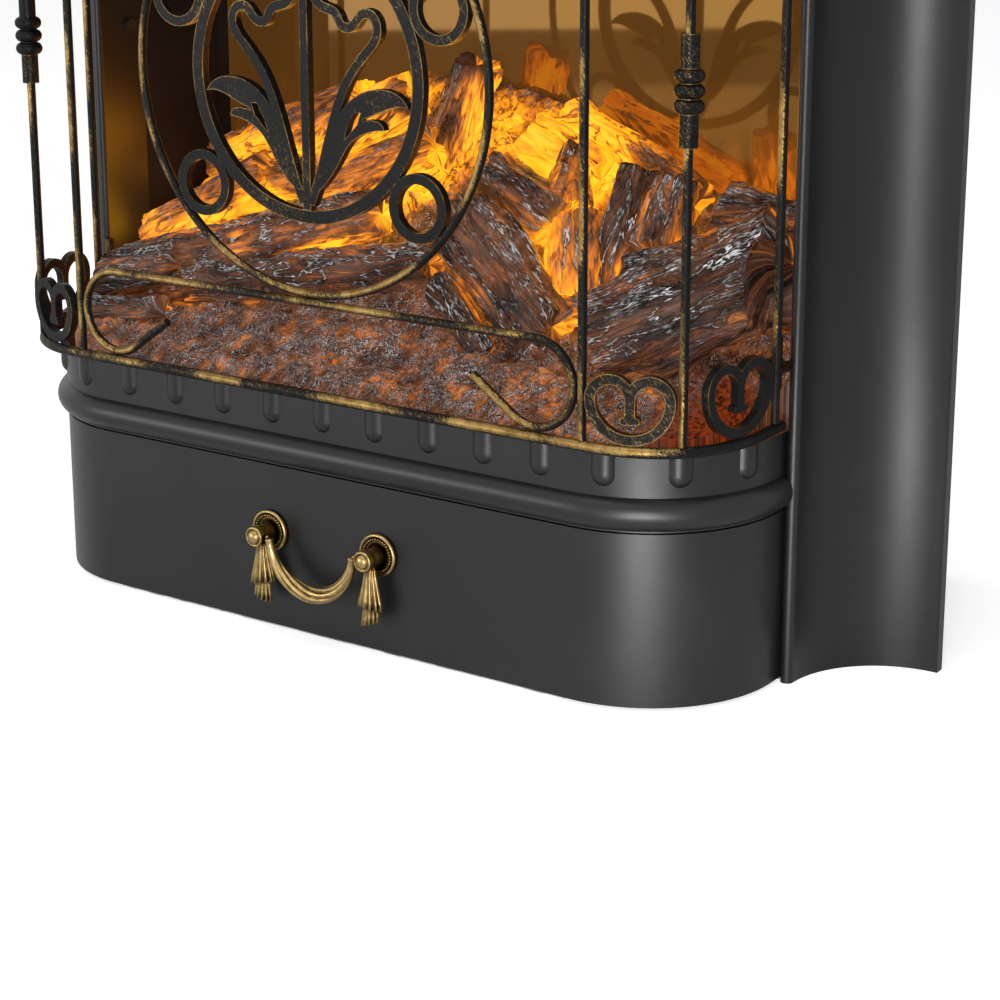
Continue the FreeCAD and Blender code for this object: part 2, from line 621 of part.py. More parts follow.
def drawer():
    front = bow_shell("drawer_sheet", "floor_gap", "drawer_top", "nose_y")
    holes = [
        rod("handle_hole_" + end, "bolt_radius + screw_fit", "3 * panel_sheet",
            (sign + "post_x", "front_y - panel_sheet", "handle_z"), "Y")
        for end, sign in (("left", "-"), ("right", ""))
    ]
    part("drawer_front", cut("drawer_front_sheet", front, *holes))
    outside = box("tray_outside", ("-tray_half", "panel_back", "tray_z"),
                  ("tray_half", "tray_rear", "tray_z + tray_height"))
    inside = box("tray_inside", ("-(tray_half - tray_wall)", "panel_back + tray_wall", "tray_z + tray_wall"),
                 ("tray_half - tray_wall", "tray_rear - tray_wall", "tray_z + 2 * tray_height"))
    part("drawer_tray", cut("tray", outside, inside))
    start, end = "panel_back + 2 * fit_gap", "tray_rear + runner_ledge"
    ledge = box("runner_ledge_bar", ("tray_half - runner_ledge", start, "plate"),
                ("tray_half + fit_gap + sheet", end, "plate + sheet"))
    web = box("runner_web", ("tray_half + fit_gap", start, "plate"),
              ("tray_half + fit_gap + sheet", end, "plate + runner_height"))
    part("drawer_runners", pair("runner", fuse("runner_right", ledge, web)))


def round_section(centre, tangent, radius):
    """A circle across a bar, as a wire for a loft."""
    return Part.Wire(Part.makeCircle(radius, centre, tangent))


def swag_bail():
    """The hanging bail: a bar that swells to the middle, with a pivot pin at each end."""
    half = mm("post_x") - mm("post_cap_radius") - mm("fit_gap") - mm("bail_thin")
    drop = mm("bail_drop")
    radius = (half ** 2 + drop ** 2) / (2 * drop)
    reach = math.asin(half / radius) if drop < half else math.pi - math.asin(half / radius)
    sections = []
    steps = 8
    for step in range(steps + 1):
        share = 2 * step / steps - 1
        angle = share * reach
        centre = Vector(radius * math.sin(angle), 0, radius - drop - radius * math.cos(angle))
        thickness = mm("bail_thin") + (mm("bail_thick") - mm("bail_thin")) * math.cos(share * math.pi / 2)
        sections.append(round_section(centre, Vector(math.cos(angle), 0, math.sin(angle)), thickness))
    swag = shaped("swag", Part.makeLoft(sections, True), ("0", "pivot_y", "handle_z"))
    eye = rod("bail_eye", "bail_thin", "2 * bail_thin",
              ("post_x - post_cap_radius - fit_gap - 2 * bail_thin", "pivot_y", "handle_z"), "X")
    pin = rod("bail_pin", "pivot_radius", "2 * bail_thin + fit_gap + pivot_depth",
              ("post_x - post_cap_radius - fit_gap - 2 * bail_thin", "pivot_y", "handle_z"), "X")
    pieces = [eye, pin, mirror("bail_eye_left", eye), mirror("bail_pin_left", pin)]
    part("handle_bail", fuse("bail", swag, *pieces))


def turned(name, outline, at):
    """A solid turned about an axis that points to the front, from an outline of edges that starts and ends on
    that axis, given as points (distance along the axis, radius)."""
    points = [Vector(radius, -along, 0) for along, radius in outline]
    face = Part.Face(Part.makePolygon(points + points[:1]))
    return shaped(name, face.revolve(Vector(), Vector(0, 1, 0), 360), at)


def arc_points(centre, radius, start, end, steps=6):
    """Points (distance along the axis, radius) round an arc, with the angle measured from the axis."""
    angles = [math.radians(start + (end - start) * step / steps) for step in range(steps + 1)]
    return [(centre[0] + radius * math.cos(angle), centre[1] + radius * math.sin(angle)) for angle in angles]


def tassel():
    """A pleated tassel under a post: a flared skirt and a shorter fringe below it."""
    drop, flare = mm("tassel_drop"), mm("tassel_radius")
    profile = ((0.42, 0), (0.5, -0.3), (0.8, -0.6), (1.0, -0.78), (0.72, -0.8), (0.74, -1.0))
    top = -0.6 * mm("post_radius")
    points = [Vector(0, 0, top)]
    points += [Vector(flare * out, 0, top + (drop + top) * down) for out, down in profile]
    points += [Vector(0, 0, points[-1].z), points[0]]
    solid = Part.Face(Part.makePolygon(points)).revolve(Vector(), Vector(0, 0, 1), 360)
    return shaped("tassel", solid, ("post_x", "front_y - tassel_reach", "handle_z"))


def handle():
    at = ("post_x", "front_y", "handle_z")
    radius, thick, rim = mm("rosette_radius"), mm("rosette_thick"), mm("rosette_rim")
    rounded = arc_points((thick - rim / 2, radius - rim), rim, QUARTER_TURN, 0)
    inside = [(thick, radius - 2 * rim), (thick, 0)]
    plate = turned("rosette_plate", [(0, 0), (0, radius)] + rounded + inside, at)
    bolt_hole = rod("rosette_hole", "bolt_radius + screw_fit", "3 * rosette_thick",
                    ("post_x", "front_y + rosette_thick", "handle_z"), "-Y")
    part("handle_rosettes", pair("rosettes", cut("rosette", plate, bolt_hole)))

    shank, cap = mm("post_radius"), mm("post_cap_radius")
    dome, reach = mm("post_dome"), mm("post_reach")
    shoulder = reach - dome - mm("post_cap")
    stem = [(thick, 0), (thick, shank), (shoulder, shank), (shoulder, cap)]
    domed = arc_points((reach - dome, cap - dome), dome, QUARTER_TURN, 0)
    turned_post = turned("turned_post", stem + domed + [(reach, 0)], at)
    thread = rod("post_thread", "bolt_radius + screw_fit", "bolt_depth",
                 ("post_x", "front_y - rosette_thick", "handle_z"), "-Y")
    bore = rod("post_bore", "pivot_radius + pivot_fit", "2 * post_cap_radius",
               ("post_x - post_cap_radius", "pivot_y", "handle_z"), "X")
    body = fuse("post_body", turned_post, tassel())
    part("handle_posts", pair("posts", cut("post", body, fuse("post_holes", thread, bore))))

    head = rod("handle_bolt_head", "2 * bolt_radius", "bolt_radius",
               ("post_x", "panel_back + bolt_radius", "handle_z"), "-Y")
    shaft = rod("handle_bolt_shaft", "bolt_radius", "panel_sheet + rosette_thick + bolt_depth - screw_fit",
                ("post_x", "panel_back", "handle_z"), "-Y")
    part("handle_bolts", pair("handle_bolt_pair", fuse("handle_bolt", head, shaft)))
    swag_bail()


# Bay grille

def rail(name, height):
    """A round bar bent to the plan of the grille."""
    front = rod(name + "_front", "rail_radius", "2 * grille_corner_x",
                ("-grille_corner_x", "grille_y", height), "X")
    corner = hoop(name + "_corner", "grille_radius", "rail_radius",
                  ("grille_corner_x", "grille_corner_y", height), "Z", -QUARTER_TURN, QUARTER_TURN)
    side = rod(name + "_side", "rail_radius", "grille_end - grille_corner_y",
               ("grille_half", "grille_corner_y", height), "Y")
    return fuse(name, front, corner, side, mirror(name + "_corner_left", corner),
                mirror(name + "_side_left", side))


def rod_places():
    return (("front", "rod_front_x", "grille_y"), ("side", "rod_side_x", "rod_side_y"),
            ("rear", "grille_half", "rod_rear_y"))


def grille_frame():
    part("grille_lower_rail", rail("lower_rail", "rail_z"))
    part("grille_upper_rail", rail("upper_rail", "upper_rail_z"))
    length = "upper_rail_z - rail_z - 2 * rail_radius"
    start = "rail_z + rail_radius"
    for place, across, along in rod_places():
        upright = rod("rod_" + place, "wire_radius", length, (across, along, start))
        if place == "rear":
            upright = fuse("rod_rear_hooked", upright, *hanging_pins())
        part("grille_%s_rods" % place, pair("rods_" + place, upright))
    sleeve = rod("collar_sleeve", "collar_radius", "collar_length",
                 ("rod_side_x", "rod_side_y", "collar_z - collar_length / 2"))
    beads = [
        hoop("collar_bead_%d" % step, "bead_ring", "bead_radius",
             ("rod_side_x", "rod_side_y", "collar_z + (%d) * bead_pitch" % step))
        for step in (-1, 0, 1)
    ]
    bore = rod("collar_bore", "wire_radius", "2 * collar_length",
               ("rod_side_x", "rod_side_y", "collar_z - collar_length"))
    part("grille_collars", pair("collars", cut("collar", fuse("collar_body", sleeve, *beads), bore)))


def hook_heights():
    """Heights of the tops of the two hanger tabs on a side."""
    return "hook_z", "hook_z + circle_radius * 2"


def hanging_pins():
    """Pins behind a rear rod, each on a bridge, that drop into the tabs on the surround."""
    pieces = []
    for count, height in enumerate(hook_heights()):
        low = "(%s) + fit_gap" % height
        name = "hanging_pin_%d" % count
        pieces.append(box(name + "_bridge", ("pin_x - pin_radius", "rod_rear_y", low),
                          ("grille_half", "pin_y", "(%s) + bridge_height" % low)))
        pieces.append(rod(name, "pin_radius", "pin_below + bridge_height + pin_above",
                          ("pin_x", "pin_y", "(%s) - pin_below" % low)))
        pieces.append(ball(name + "_tip", "pin_radius", ("pin_x", "pin_y", "(%s) - pin_below" % low)))
    return pieces


def hanger_tabs():
    tabs = []
    for count, height in enumerate(hook_heights()):
        low = "(%s) - hook_thick" % height
        front = "rod_rear_y + wire_radius + fit_gap"
        plate = box("hanger_plate_%d" % count, ("opening_half - hook_width", front, low),
                    ("opening_half", "nose_y + hook_width / 2", height))
        hole = rod("hanger_hole_%d" % count, "pin_radius + pivot_fit", "3 * hook_thick",
                   ("pin_x", "pin_y", "(%s) - hook_thick" % low))
        tabs.append(cut("hanger_tab_%d" % count, plate, hole))
    part("hanger_tabs", pair("hanger_tab_pairs", group("hanger_tabs_right", *tabs)))


def scroll_bar():
    """The long scroll: a straight wire whose ends curl down and inwards to short tails."""
    bar = rod("scroll_bar_run", "wire_radius", "2 * curl_x", ("-curl_x", "grille_y", "curl_z + curl_radius"),
              "X")
    lean = 35
    curl = hoop("scroll_curl", "curl_radius", "wire_radius", ("curl_x", "grille_y", "curl_z"), "-Y",
                -(HALF_TURN - QUARTER_TURN + lean), HALF_TURN + lean)
    tail_x = "curl_x - curl_radius * sin(%d)" % lean
    tail_z = "curl_z - curl_radius * cos(%d)" % lean
    tail = doc.addObject("Part::Cylinder", "scroll_tail")
    bind(tail, Radius="wire_radius", Height="curl_tail")
    put(tail, (tail_x, "grille_y", tail_z), Rotation(Vector(0, 1, 0), lean - QUARTER_TURN))
    return fuse("scroll", bar, curl, tail, mirror("scroll_curl_left", curl), mirror("scroll_tail_left", tail))


def grille_rings():
    centre = ("0", "grille_y", "circle_z")
    face = "grille_y + flat_depth / 2"
    lower = scroll_bar()
    part("grille_scroll_bars", group("scrolls", lower, mirror("upper_scroll", lower, (0, 0, 1), "circle_z")))
    part("grille_circle", hoop("wire_circle", "circle_radius", "wire_radius", centre, "-Y"))
    part("grille_inner_ring", sector("flat_ring", "ring_outer", "ring_outer - ring_stroke", "flat_depth",
                                     ("0", face, "circle_z"), "-Y"))
    rings = []
    for step in (-2, -1, 0, 1, 2):
        angle = "(%d * small_ring_angle)" % step
        at = ("small_orbit * sin%s" % angle, face, "circle_z + small_orbit * cos%s" % angle)
        rings.append(sector("small_ring_%d" % step, "small_outer", "small_outer - small_stroke",
                            "flat_depth", at, "-Y"))
    part("grille_small_rings", group("small_rings", *rings))


def leaf_outline():
    """Right-hand leaf, from its foot round the lower lobe, the upper lobe and back, in millimetres from the
    ring's centre."""
    lower = ((5, -51), (16, -40), (20, -34), (25, -27), (32, -22.5), (43.5, -20))
    notch = ((43.5, -20), (41, -16.5), (31, -16.5), (41, -12.5), (49, -9.5), (57, -9.5))
    upper = ((57, -9.5), (50.5, -3.6), (41, -2.2), (31.5, -4.5), (25, -8.5), (19, -15))
    foot = ((19, -15), (12, -28), (5, -51))
    return lower, notch, upper, foot


def leaf_slit():
    """The pierced slit between the two lobes of the right-hand leaf."""
    return (21.5, -26), (24.5, -17.5), (27.5, -13.5), (31, -13.2), (29, -18.5), (21.5, -26)


def front_point(across, up):
    return Vector(across, 0, up)


def curve(points):
    spline = Part.BSplineCurve()
    spline.interpolate([front_point(*point) for point in points])
    return spline.toShape()


def ribbon(points, width):
    """A flat strip of even width along a curve, as a face."""
    spline = Part.BSplineCurve()
    spline.interpolate([front_point(*point) for point in points])
    steps = 3 * len(points)
    edges = ([], [])
    for step in range(steps + 1):
        at = spline.FirstParameter + (spline.LastParameter - spline.FirstParameter) * step / steps
        across = Vector(*spline.tangent(at)[0]).cross(Vector(0, 1, 0)).normalize()
        centre = spline.value(at)
        for edge, side in zip(edges, (-1, 1)):
            point = centre + across * (side * width / 2)
            edge.append((point.x, point.z))
    ends = [Part.makeLine(front_point(*edges[0][end]), front_point(*edges[1][end])) for end in (0, -1)]
    return Part.Face(Part.Wire([curve(edges[0]), ends[1], curve(edges[1]), ends[0]]))


def leaf_work():
    """Flat leaves and wavy stems inside the ring, either side of an upright bar."""
    radius = mm("ring_outer") - mm("ring_stroke")
    drawn_radius = 59
    scale = radius / drawn_radius
    depth = Vector(0, mm("flat_depth"), 0)
    stroke = mm("stem_stroke") / scale
    leaf = Part.Face(Part.Wire([curve(points) for points in leaf_outline()])).extrude(depth)
    stem_path = ((2, -56), (7, -44), (11, -32), (17, -14), (24, 0.5), (34.5, 13), (40.5, 21.5), (38.5, 28.5),
                 (33, 29.5), (27, 24), (22, 23.5), (18, 29), (11, 31.5), (5, 37), (0, 47))
    slit = Part.Face(Part.makePolygon([front_point(*point) for point in leaf_slit()])).extrude(depth)
    half = leaf.fuse(ribbon(stem_path, stroke).extrude(depth)).cut(slit)
    bar = Part.makeBox(stroke, mm("flat_depth"), 2 * drawn_radius, Vector(-stroke / 2, 0, -drawn_radius))
    whole = bar.fuse([half, half.mirror(Vector(), Vector(1, 0, 0))])
    disc = Part.makeCylinder(drawn_radius, mm("flat_depth"), Vector(), Vector(0, 1, 0))
    sized = FreeCAD.Matrix()
    sized.scale(scale, 1, scale)
    shape = whole.common(disc).removeSplitter().transformGeometry(sized)
    part("grille_leaf_work", shaped("leaf_work", shape, ("0", "grille_y - flat_depth / 2", "circle_z")))


def heart(name, radius):
    """A ram's horn scroll: a round bowl, two lobes that turn in over it and a short tail."""
    half = radius + " / 2"
    inner = "heart_stroke / 2"
    outline = [
        sector(name + "_bowl", "%s + %s" % (radius, inner), "%s - %s" % (radius, inner), "flat_depth",
               ("0", "flat_depth / 2", "0"), "-Y", HALF_TURN, HALF_TURN),
    ]
    for side, sign in (("l", "-"), ("r", "")):
        outline.append(sector("%s_lobe_%s" % (name, side), "%s + %s" % (half, inner),
                              "%s - %s" % (half, inner), "flat_depth",
                              (sign + half, "flat_depth / 2", "0"), "-Y", 0, HALF_TURN))
    outline.append(box(name + "_tail", ("-heart_stroke / 2", "-flat_depth / 2", "-heart_tail"),
                       ("heart_stroke / 2", "flat_depth / 2", "0")))
    for step in (-1, 0, 1):
        outline.append(rod("%s_scallop_%d" % (name, step), "heart_stroke / 2.6", "flat_depth",
                           ("%d * heart_stroke / 1.8" % step, "flat_depth / 2", "-heart_tail"), "-Y"))
    return fuse(name, *outline)


def hearts():
    """Heart scrolls that stand on the rails in the two bays beside the front, at the bottom and the top."""
    whole = []
    reach = "(grille_radius - flat_depth / 2)"
    for name, radius, angle in (("front_heart", "heart_radius", "heart_angle"),
                                ("side_heart", "side_heart_radius", "side_heart_angle")):
        scroll = heart(name, radius)
        at = ("grille_corner_x + %s * sin(%s)" % (reach, angle),
              "grille_corner_y - %s * cos(%s)" % (reach, angle),
              "rail_z + rail_radius + %s + heart_stroke / 2" % radius)
        put(scroll, at, Rotation(Vector(0, 0, 1), mm(angle)))
        whole += [scroll, mirror(name + "_left", scroll)]
    lower = group("hearts_low", *whole)
    part("grille_hearts", group("hearts", lower, mirror("hearts_high", lower, (0, 0, 1), "circle_z")))


# Log bed and flame unit

# The skyline of the bed: shares of its half width and of its ridge height
BED_CREST = (
    (-1, 0.459), (-0.842, 0.62), (-0.714, 0.691), (-0.587, 0.773), (-0.495, 0.863), (-0.372, 0.943),
    (-0.173, 0.97), (0.031, 0.95), (0.24, 0.87), (0.321, 0.814), (0.408, 0.736), (0.495, 0.681),
    (0.622, 0.637), (0.842, 0.587), (1, 0.439),
)
# Its rise from front to back: shares of its depth and of the skyline above the ember shelf
BED_RISE = (
    (0, -0.03), (0.084, 0.06), (0.3, 0.17), (0.495, 0.38), (0.642, 0.6), (0.838, 0.88), (1, 1),
)
# Each log: its two ends, as shares of half width, depth and ridge height, and its two radii, as shares of the
# ridge height
BED_LOGS = (
    ((-0.923, 0.529, 0.397), (-0.571, 0.603, 0.663), 0.088, 0.082),
    ((-0.929, 0.425, 0.31), (-0.128, 0.468, 0.597), 0.095, 0.075),
    ((-0.673, 0.382, 0.297), (0.082, 0.369, 0.483), 0.082, 0.068),
    ((-0.918, 0.357, 0.217), (-0.633, 0.382, 0.317), 0.061, 0.075),
    ((0.143, 0.48, 0.65), (0.449, 0.345, 0.343), 0.082, 0.082),
    ((0.082, 0.455, 0.55), (0.378, 0.332, 0.317), 0.061, 0.054),
    ((0.102, 0.369, 0.423), (0.276, 0.295, 0.25), 0.048, 0.041),
    ((0.474, 0.455, 0.41), (0.398, 0.578, 0.623), 0.102, 0.095),
    ((0.51, 0.492, 0.45), (0.541, 0.615, 0.81), 0.068, 0.061),
    ((0.622, 0.529, 0.57), (0.617, 0.652, 0.77), 0.088, 0.068),
    ((0.571, 0.357, 0.317), (0.98, 0.542, 0.597), 0.163, 0.17),
    ((0.714, 0.702, 0.61), (0.969, 0.751, 0.597), 0.136, 0.122),
    ((-0.112, 0.788, 0.717), (-0.036, 0.812, 1.057), 0.088, 0.075),
    ((0.122, 0.603, 0.743), (0.327, 0.566, 0.61), 0.082, 0.082),
    ((0.327, 0.64, 0.65), (0.306, 0.714, 0.843), 0.088, 0.027),
    ((0.602, 0.443, 0.517), (0.714, 0.48, 0.57), 0.054, 0.048),
    ((0.449, 0.406, 0.397), (0.622, 0.431, 0.45), 0.054, 0.048),
    ((-0.898, 0.812, 0.61), (-0.398, 0.849, 0.877), 0.102, 0.095),
    ((-0.51, 0.738, 0.703), (-0.235, 0.825, 0.93), 0.095, 0.088),
    ((0.184, 0.911, 0.877), (0.571, 0.862, 0.65), 0.082, 0.082),
    ((-0.357, 0.615, 0.61), (-0.082, 0.677, 0.783), 0.088, 0.082),
    ((-0.765, 0.677, 0.583), (-0.429, 0.64, 0.663), 0.075, 0.082),
    ((0.143, 0.8, 0.823), (0.347, 0.788, 0.717), 0.095, 0.088),
)


def faceted(rings):
    """A solid with flat faces between rings of points, and a flat face at each end."""
    loops = [rings[0][::-1], rings[-1]]
    for low, high in zip(rings, rings[1:]):
        for step in range(len(low)):
            after = (step + 1) % len(low)
            loops.append([low[step], low[after], high[after]])
            loops.append([low[step], high[after], high[step]])
    faces = [Part.Face(Part.makePolygon(loop + loop[:1])) for loop in loops]
    return Part.makeSolid(Part.makeShell(faces)).removeSplitter()


def tapered_log(start, end, start_radius, end_radius, sides=9):
    """A straight log with flat sides that tapers from one end to the other."""
    axis = (end - start).normalize()
    level = axis.cross(Vector(0, 0, 1)).normalize()
    up = axis.cross(level)
    rings = []
    for centre, radius in ((start, start_radius), (end, end_radius)):
        angles = [2 * math.pi * side / sides for side in range(sides)]
        rings.append([centre + level * (radius * math.cos(angle)) + up * (radius * math.sin(angle))
                      for angle in angles])
    return faceted(rings)


def bed_room(front, rear):
    """The space that the log bed fills: the bowed plan of the band, just inside the ember shelf."""
    inset = mm("panel_sheet") + mm("bed_margin") + mm("sheet")
    floor = mm("hearth_top")
    tall = 2 * mm("ridge_height")
    side = mm("bow_half") - inset
    across, along = mm("corner_x"), mm("corner_y")
    radius = mm("bow_radius") - inset
    room = Part.makeBox(2 * side, rear - along, tall, Vector(-side, along, floor))
    middle = Part.makeBox(2 * across, rear - front, tall, Vector(-across, along - radius, floor))
    corners = [Part.makeCylinder(radius, tall, Vector(sign * across, along, floor)) for sign in (-1, 1)]
    return room.fuse([middle] + corners).common(Part.makeBox(2 * side, rear - front, tall,
                                                             Vector(-side, front, floor)))


def log_bed():
    """One resin casting: an ember bed that rises to a ridge at the flame screen, and the logs on it."""
    floor = mm("hearth_top")
    half = mm("bed_half")
    ridge = mm("ridge_height")
    ember = mm("ember_height")
    front = mm("front_y") + mm("panel_sheet") + mm("bed_margin")
    rear = mm("screen_y") - mm("sheet") - mm("fit_gap")
    deep = rear - front
    sections = []
    for across, crest in BED_CREST:
        x = across * half
        top = [Vector(x, front + along * deep, floor + ember + rise * (crest * ridge - ember))
               for along, rise in BED_RISE]
        sections.append([Vector(x, front, floor), Vector(x, rear, floor)] + top[::-1])
    logs = []
    for start, end, start_radius, end_radius in BED_LOGS:
        ends = [Vector(across * half, front + along * deep, floor + up * ridge)
                for across, along, up in (start, end)]
        logs.append(tapered_log(*ends, start_radius * ridge, end_radius * ridge))
    mounded = faceted(sections).fuse(logs)
    cast = shaped("log_mound", mounded.common(bed_room(front, rear)))
    embers = bow_solid("ember_shelf", "panel_sheet + bed_margin", "hearth_top", "hearth_top + ember_height",
                       "fascia_rear")
    inset = "(bed_margin + bed_wall)"
    lamp_space = box("lamp_space", ("-(bow_half - %s)" % inset, "corner_y", "hearth_top - plate"),
                     ("bow_half - %s" % inset, "screen_y - bed_wall", "hearth_top + bed_cavity"))
    pocket = box("hanger_pocket",
                 ("opening_half - hook_width - bed_margin", "front_y", "hearth_top + ember_height"),
                 ("face_half", "nose_y + hook_width / 2 + bed_margin", "face_height"))
    pockets = [pocket, mirror("hanger_pocket_left", pocket)]
    part("log_bed", cut("log_casting", fuse("log_forms", cast, embers), lamp_space, *pockets))


def lamp_board(name, along):
    """A strip with a row of lamps, on the hearth plate."""
    half = "0.9 * bracket_x"
    strip = box(name + "_strip", ("-" + half, along, "hearth_top"),
                (half, "(%s) + lamp_board_depth" % along, "hearth_top + plate"))
    lamps = []
    count = int(mm("lamp_count"))
    for step in range(count):
        share = (step + 0.5) / count * 2 - 1
        lamps.append(rod("%s_lamp_%d" % (name, step), "lamp_radius", "lamp_height",
                         ("%r * %s" % (share, half), "(%s) + lamp_board_depth / 2" % along,
                          "hearth_top + plate")))
    return fuse(name, strip, *lamps)


def flame_unit():
    pane = box("screen_pane", ("-(wall_x - 2 * sheet)", "screen_y", "hearth_top"),
               ("wall_x - 2 * sheet", "screen_y + screen_thick", "hood_bottom"))
    notch = box("screen_notch",
                ("wall_x - rail_leg - fit_gap", "screen_y - sheet", "hood_bottom - rail_leg - fit_gap"),
                ("wall_x", "screen_y + 2 * screen_thick", "hood_bottom + plate"))
    part("flame_screen", cut("screen_sheet", pane, notch, mirror("screen_notch_left", notch)))
    outside = box("channel_outside", ("wall_x - channel_lip", "screen_y - sheet", "hearth_top"),
                  ("wall_x", "screen_y + screen_thick + sheet", "hood_bottom - rail_leg - fit_gap"))
    slot = box("channel_slot", ("wall_x - 2 * channel_lip", "screen_y", "hearth_z"),
               ("wall_x - 2 * sheet", "screen_y + screen_thick", "hood_bottom"))
    part("screen_channels", pair("channel", cut("channel_right", outside, slot)))

    sheet = box("baffle_sheet", ("-bracket_x", "baffle_y", "hearth_top"),
                ("bracket_x", "baffle_y + sheet", "hearth_top + baffle_height"))
    foot = box("baffle_foot", ("-bracket_x", "baffle_y", "hearth_top"),
               ("bracket_x", "baffle_y + rail_leg", "hearth_top + sheet"))
    count = int(mm("flame_slots"))
    slots = []
    for step in range(count):
        share = (step + 0.5) / count * 2 - 1
        height = 0.55 + 0.3 * math.cos(share * math.pi)
        middle = "%r * bracket_x" % share
        foot_z = "hearth_top + spindle_rise"
        slots.append(box("flame_slot_%d" % step,
                         ("%s - lamp_board_depth / 2" % middle, "baffle_y - sheet", foot_z),
                         ("%s + lamp_board_depth / 2" % middle, "baffle_y + 2 * sheet",
                          "%s + %r * baffle_height" % (foot_z, 0.9 * height))))
    part("flame_baffle", cut("baffle", fuse("baffle_plain", sheet, foot), *slots))
    part("flame_lamp_board", lamp_board("flame_lamps", "baffle_y - lamp_board_depth - fit_gap"))
    part("ember_lamp_board", lamp_board("ember_lamps", "corner_y + bed_wall"))

    bore = "spindle_radius + pivot_fit"
    plates = []
    for side, left in (("left", "-bracket_x - sheet"), ("right", "bracket_x")):
        plate = box("bracket_plate_" + side,
                    (left, "spindle_y - bracket_width / 2", "hearth_top"),
                    ("(%s) + sheet" % left, "spindle_y + bracket_width / 2", "spindle_z + vane_radius"))
        hole = rod("bracket_hole_" + side, bore, "3 * sheet",
                   ("(%s) - sheet" % left, "spindle_y", "spindle_z"), "X")
        plates.append(cut("bracket_" + side, plate, hole))
    part("spindle_brackets", group("brackets", *plates))
    body = rod("motor_body", "motor_radius", "motor_length", ("bracket_x + sheet", "spindle_y", "spindle_z"),
               "X")
    socket = rod("motor_socket", bore, "motor_length / 2 + fit_gap",
                 ("bracket_x + sheet", "spindle_y", "spindle_z"), "X")
    part("flicker_motor", cut("motor", body, socket))
    shaft = rod("spindle_shaft", "spindle_radius", "2 * bracket_x + 3 * sheet + motor_length / 2",
                ("-bracket_x - 2 * sheet", "spindle_y", "spindle_z"), "X")
    vanes = [
        put(box("vane_%d" % step, ("0", "0", "0"), ("1.9 * bracket_x", "vane_radius", "vane_thick")),
            ("-0.95 * bracket_x", "spindle_y", "spindle_z"), Rotation(Vector(1, 0, 0), 120 * step))
        for step in range(3)
    ]
    part("flicker_spindle", fuse("spindle", shaft, *vanes))


# Hood and heater

def bow_wire(height, inset, setback, rear):
    """The bowed plan as a closed wire, drawn in and set back from the base's front."""
    half = mm("bow_half") - inset
    radius = mm("bow_radius") - inset
    front = mm("front_y") + inset + setback
    side = half - radius
    bend = radius * math.sqrt(0.5)
    edges = [Part.makeLine(Vector(half, rear, height), Vector(half, front + radius, height))]
    edges.append(Part.Arc(Vector(half, front + radius, height),
                          Vector(side + bend, front + radius - bend, height),
                          Vector(side, front, height)).toShape())
    edges.append(Part.makeLine(Vector(side, front, height), Vector(-side, front, height)))
    edges.append(Part.Arc(Vector(-side, front, height), Vector(-side - bend, front + radius - bend, height),
                          Vector(-half, front + radius, height)).toShape())
    edges.append(Part.makeLine(Vector(-half, front + radius, height), Vector(-half, rear, height)))
    edges.append(Part.makeLine(Vector(-half, rear, height), Vector(half, rear, height)))
    return Part.Wire(edges)


def hood():
    """A bowed canopy like the base: a band, a half-round moulding and a sloping top."""
    band = bow_shell("hood_band_sheet", "hood_bottom", "hood_torus_z", "fascia_rear")
    moulding = fuse("hood_bars", *bow_moulding("hood_moulding", "hood_torus_z"))
    low, high, wall = mm("hood_torus_z"), mm("opening_top") - mm("fit_gap"), mm("panel_sheet")
    rear = mm("fascia_rear") + mm("hood_setback")
    setback = mm("hood_setback")
    outer = Part.makeLoft([bow_wire(low, 0, 0, rear), bow_wire(high, 0, setback, rear)], True, True)
    inner = Part.makeLoft([bow_wire(low, wall, 0, rear + wall),
                           bow_wire(high - wall, wall, setback, rear + wall)], True, True)
    canopy = shaped("canopy", outer.cut(inner))
    behind = box("hood_behind", ("-face_half", "fascia_rear", "0"),
                 ("face_half", "case_depth", "face_height"))
    inside = bow_solid("hood_inside", "panel_sheet", "hood_bottom - plate", "hood_torus_z", "case_depth")
    above = shaped("hood_room", inner)
    shell = cut("hood_trimmed", fuse("hood_pressing", band, moulding, canopy), behind, inside, above)
    part("hood", shell)

    floor = bow_solid("outlet_floor", "panel_sheet", "hood_bottom", "shelf_top",
                      "fascia_rear + plate")
    count = int(mm("outlet_slots"))
    slots = []
    for step in range(count):
        share = (step + 0.5) / count * 2 - 1
        middle = "%r * (corner_x + bow_radius / 2)" % share
        slots.append(box("outlet_slot_%d" % step,
                         ("%s - outlet_slot_width / 2" % middle, "front_y + bow_radius / 2",
                          "hood_bottom - plate"),
                         ("%s + outlet_slot_width / 2" % middle, "nose_front", "shelf_top + plate")))
    rear = box("shelf_rear", ("-(opening_half - fit_gap)", "fascia_rear + fit_gap", "hood_bottom"),
               ("opening_half - fit_gap", "case_depth - sheet - fit_gap", "shelf_top"))
    part("heater_shelf", cut("shelf", fuse("shelf_plain", floor, rear), *slots))
    part("shelf_rails", angle_rail("shelf_rail", "hood_bottom"))


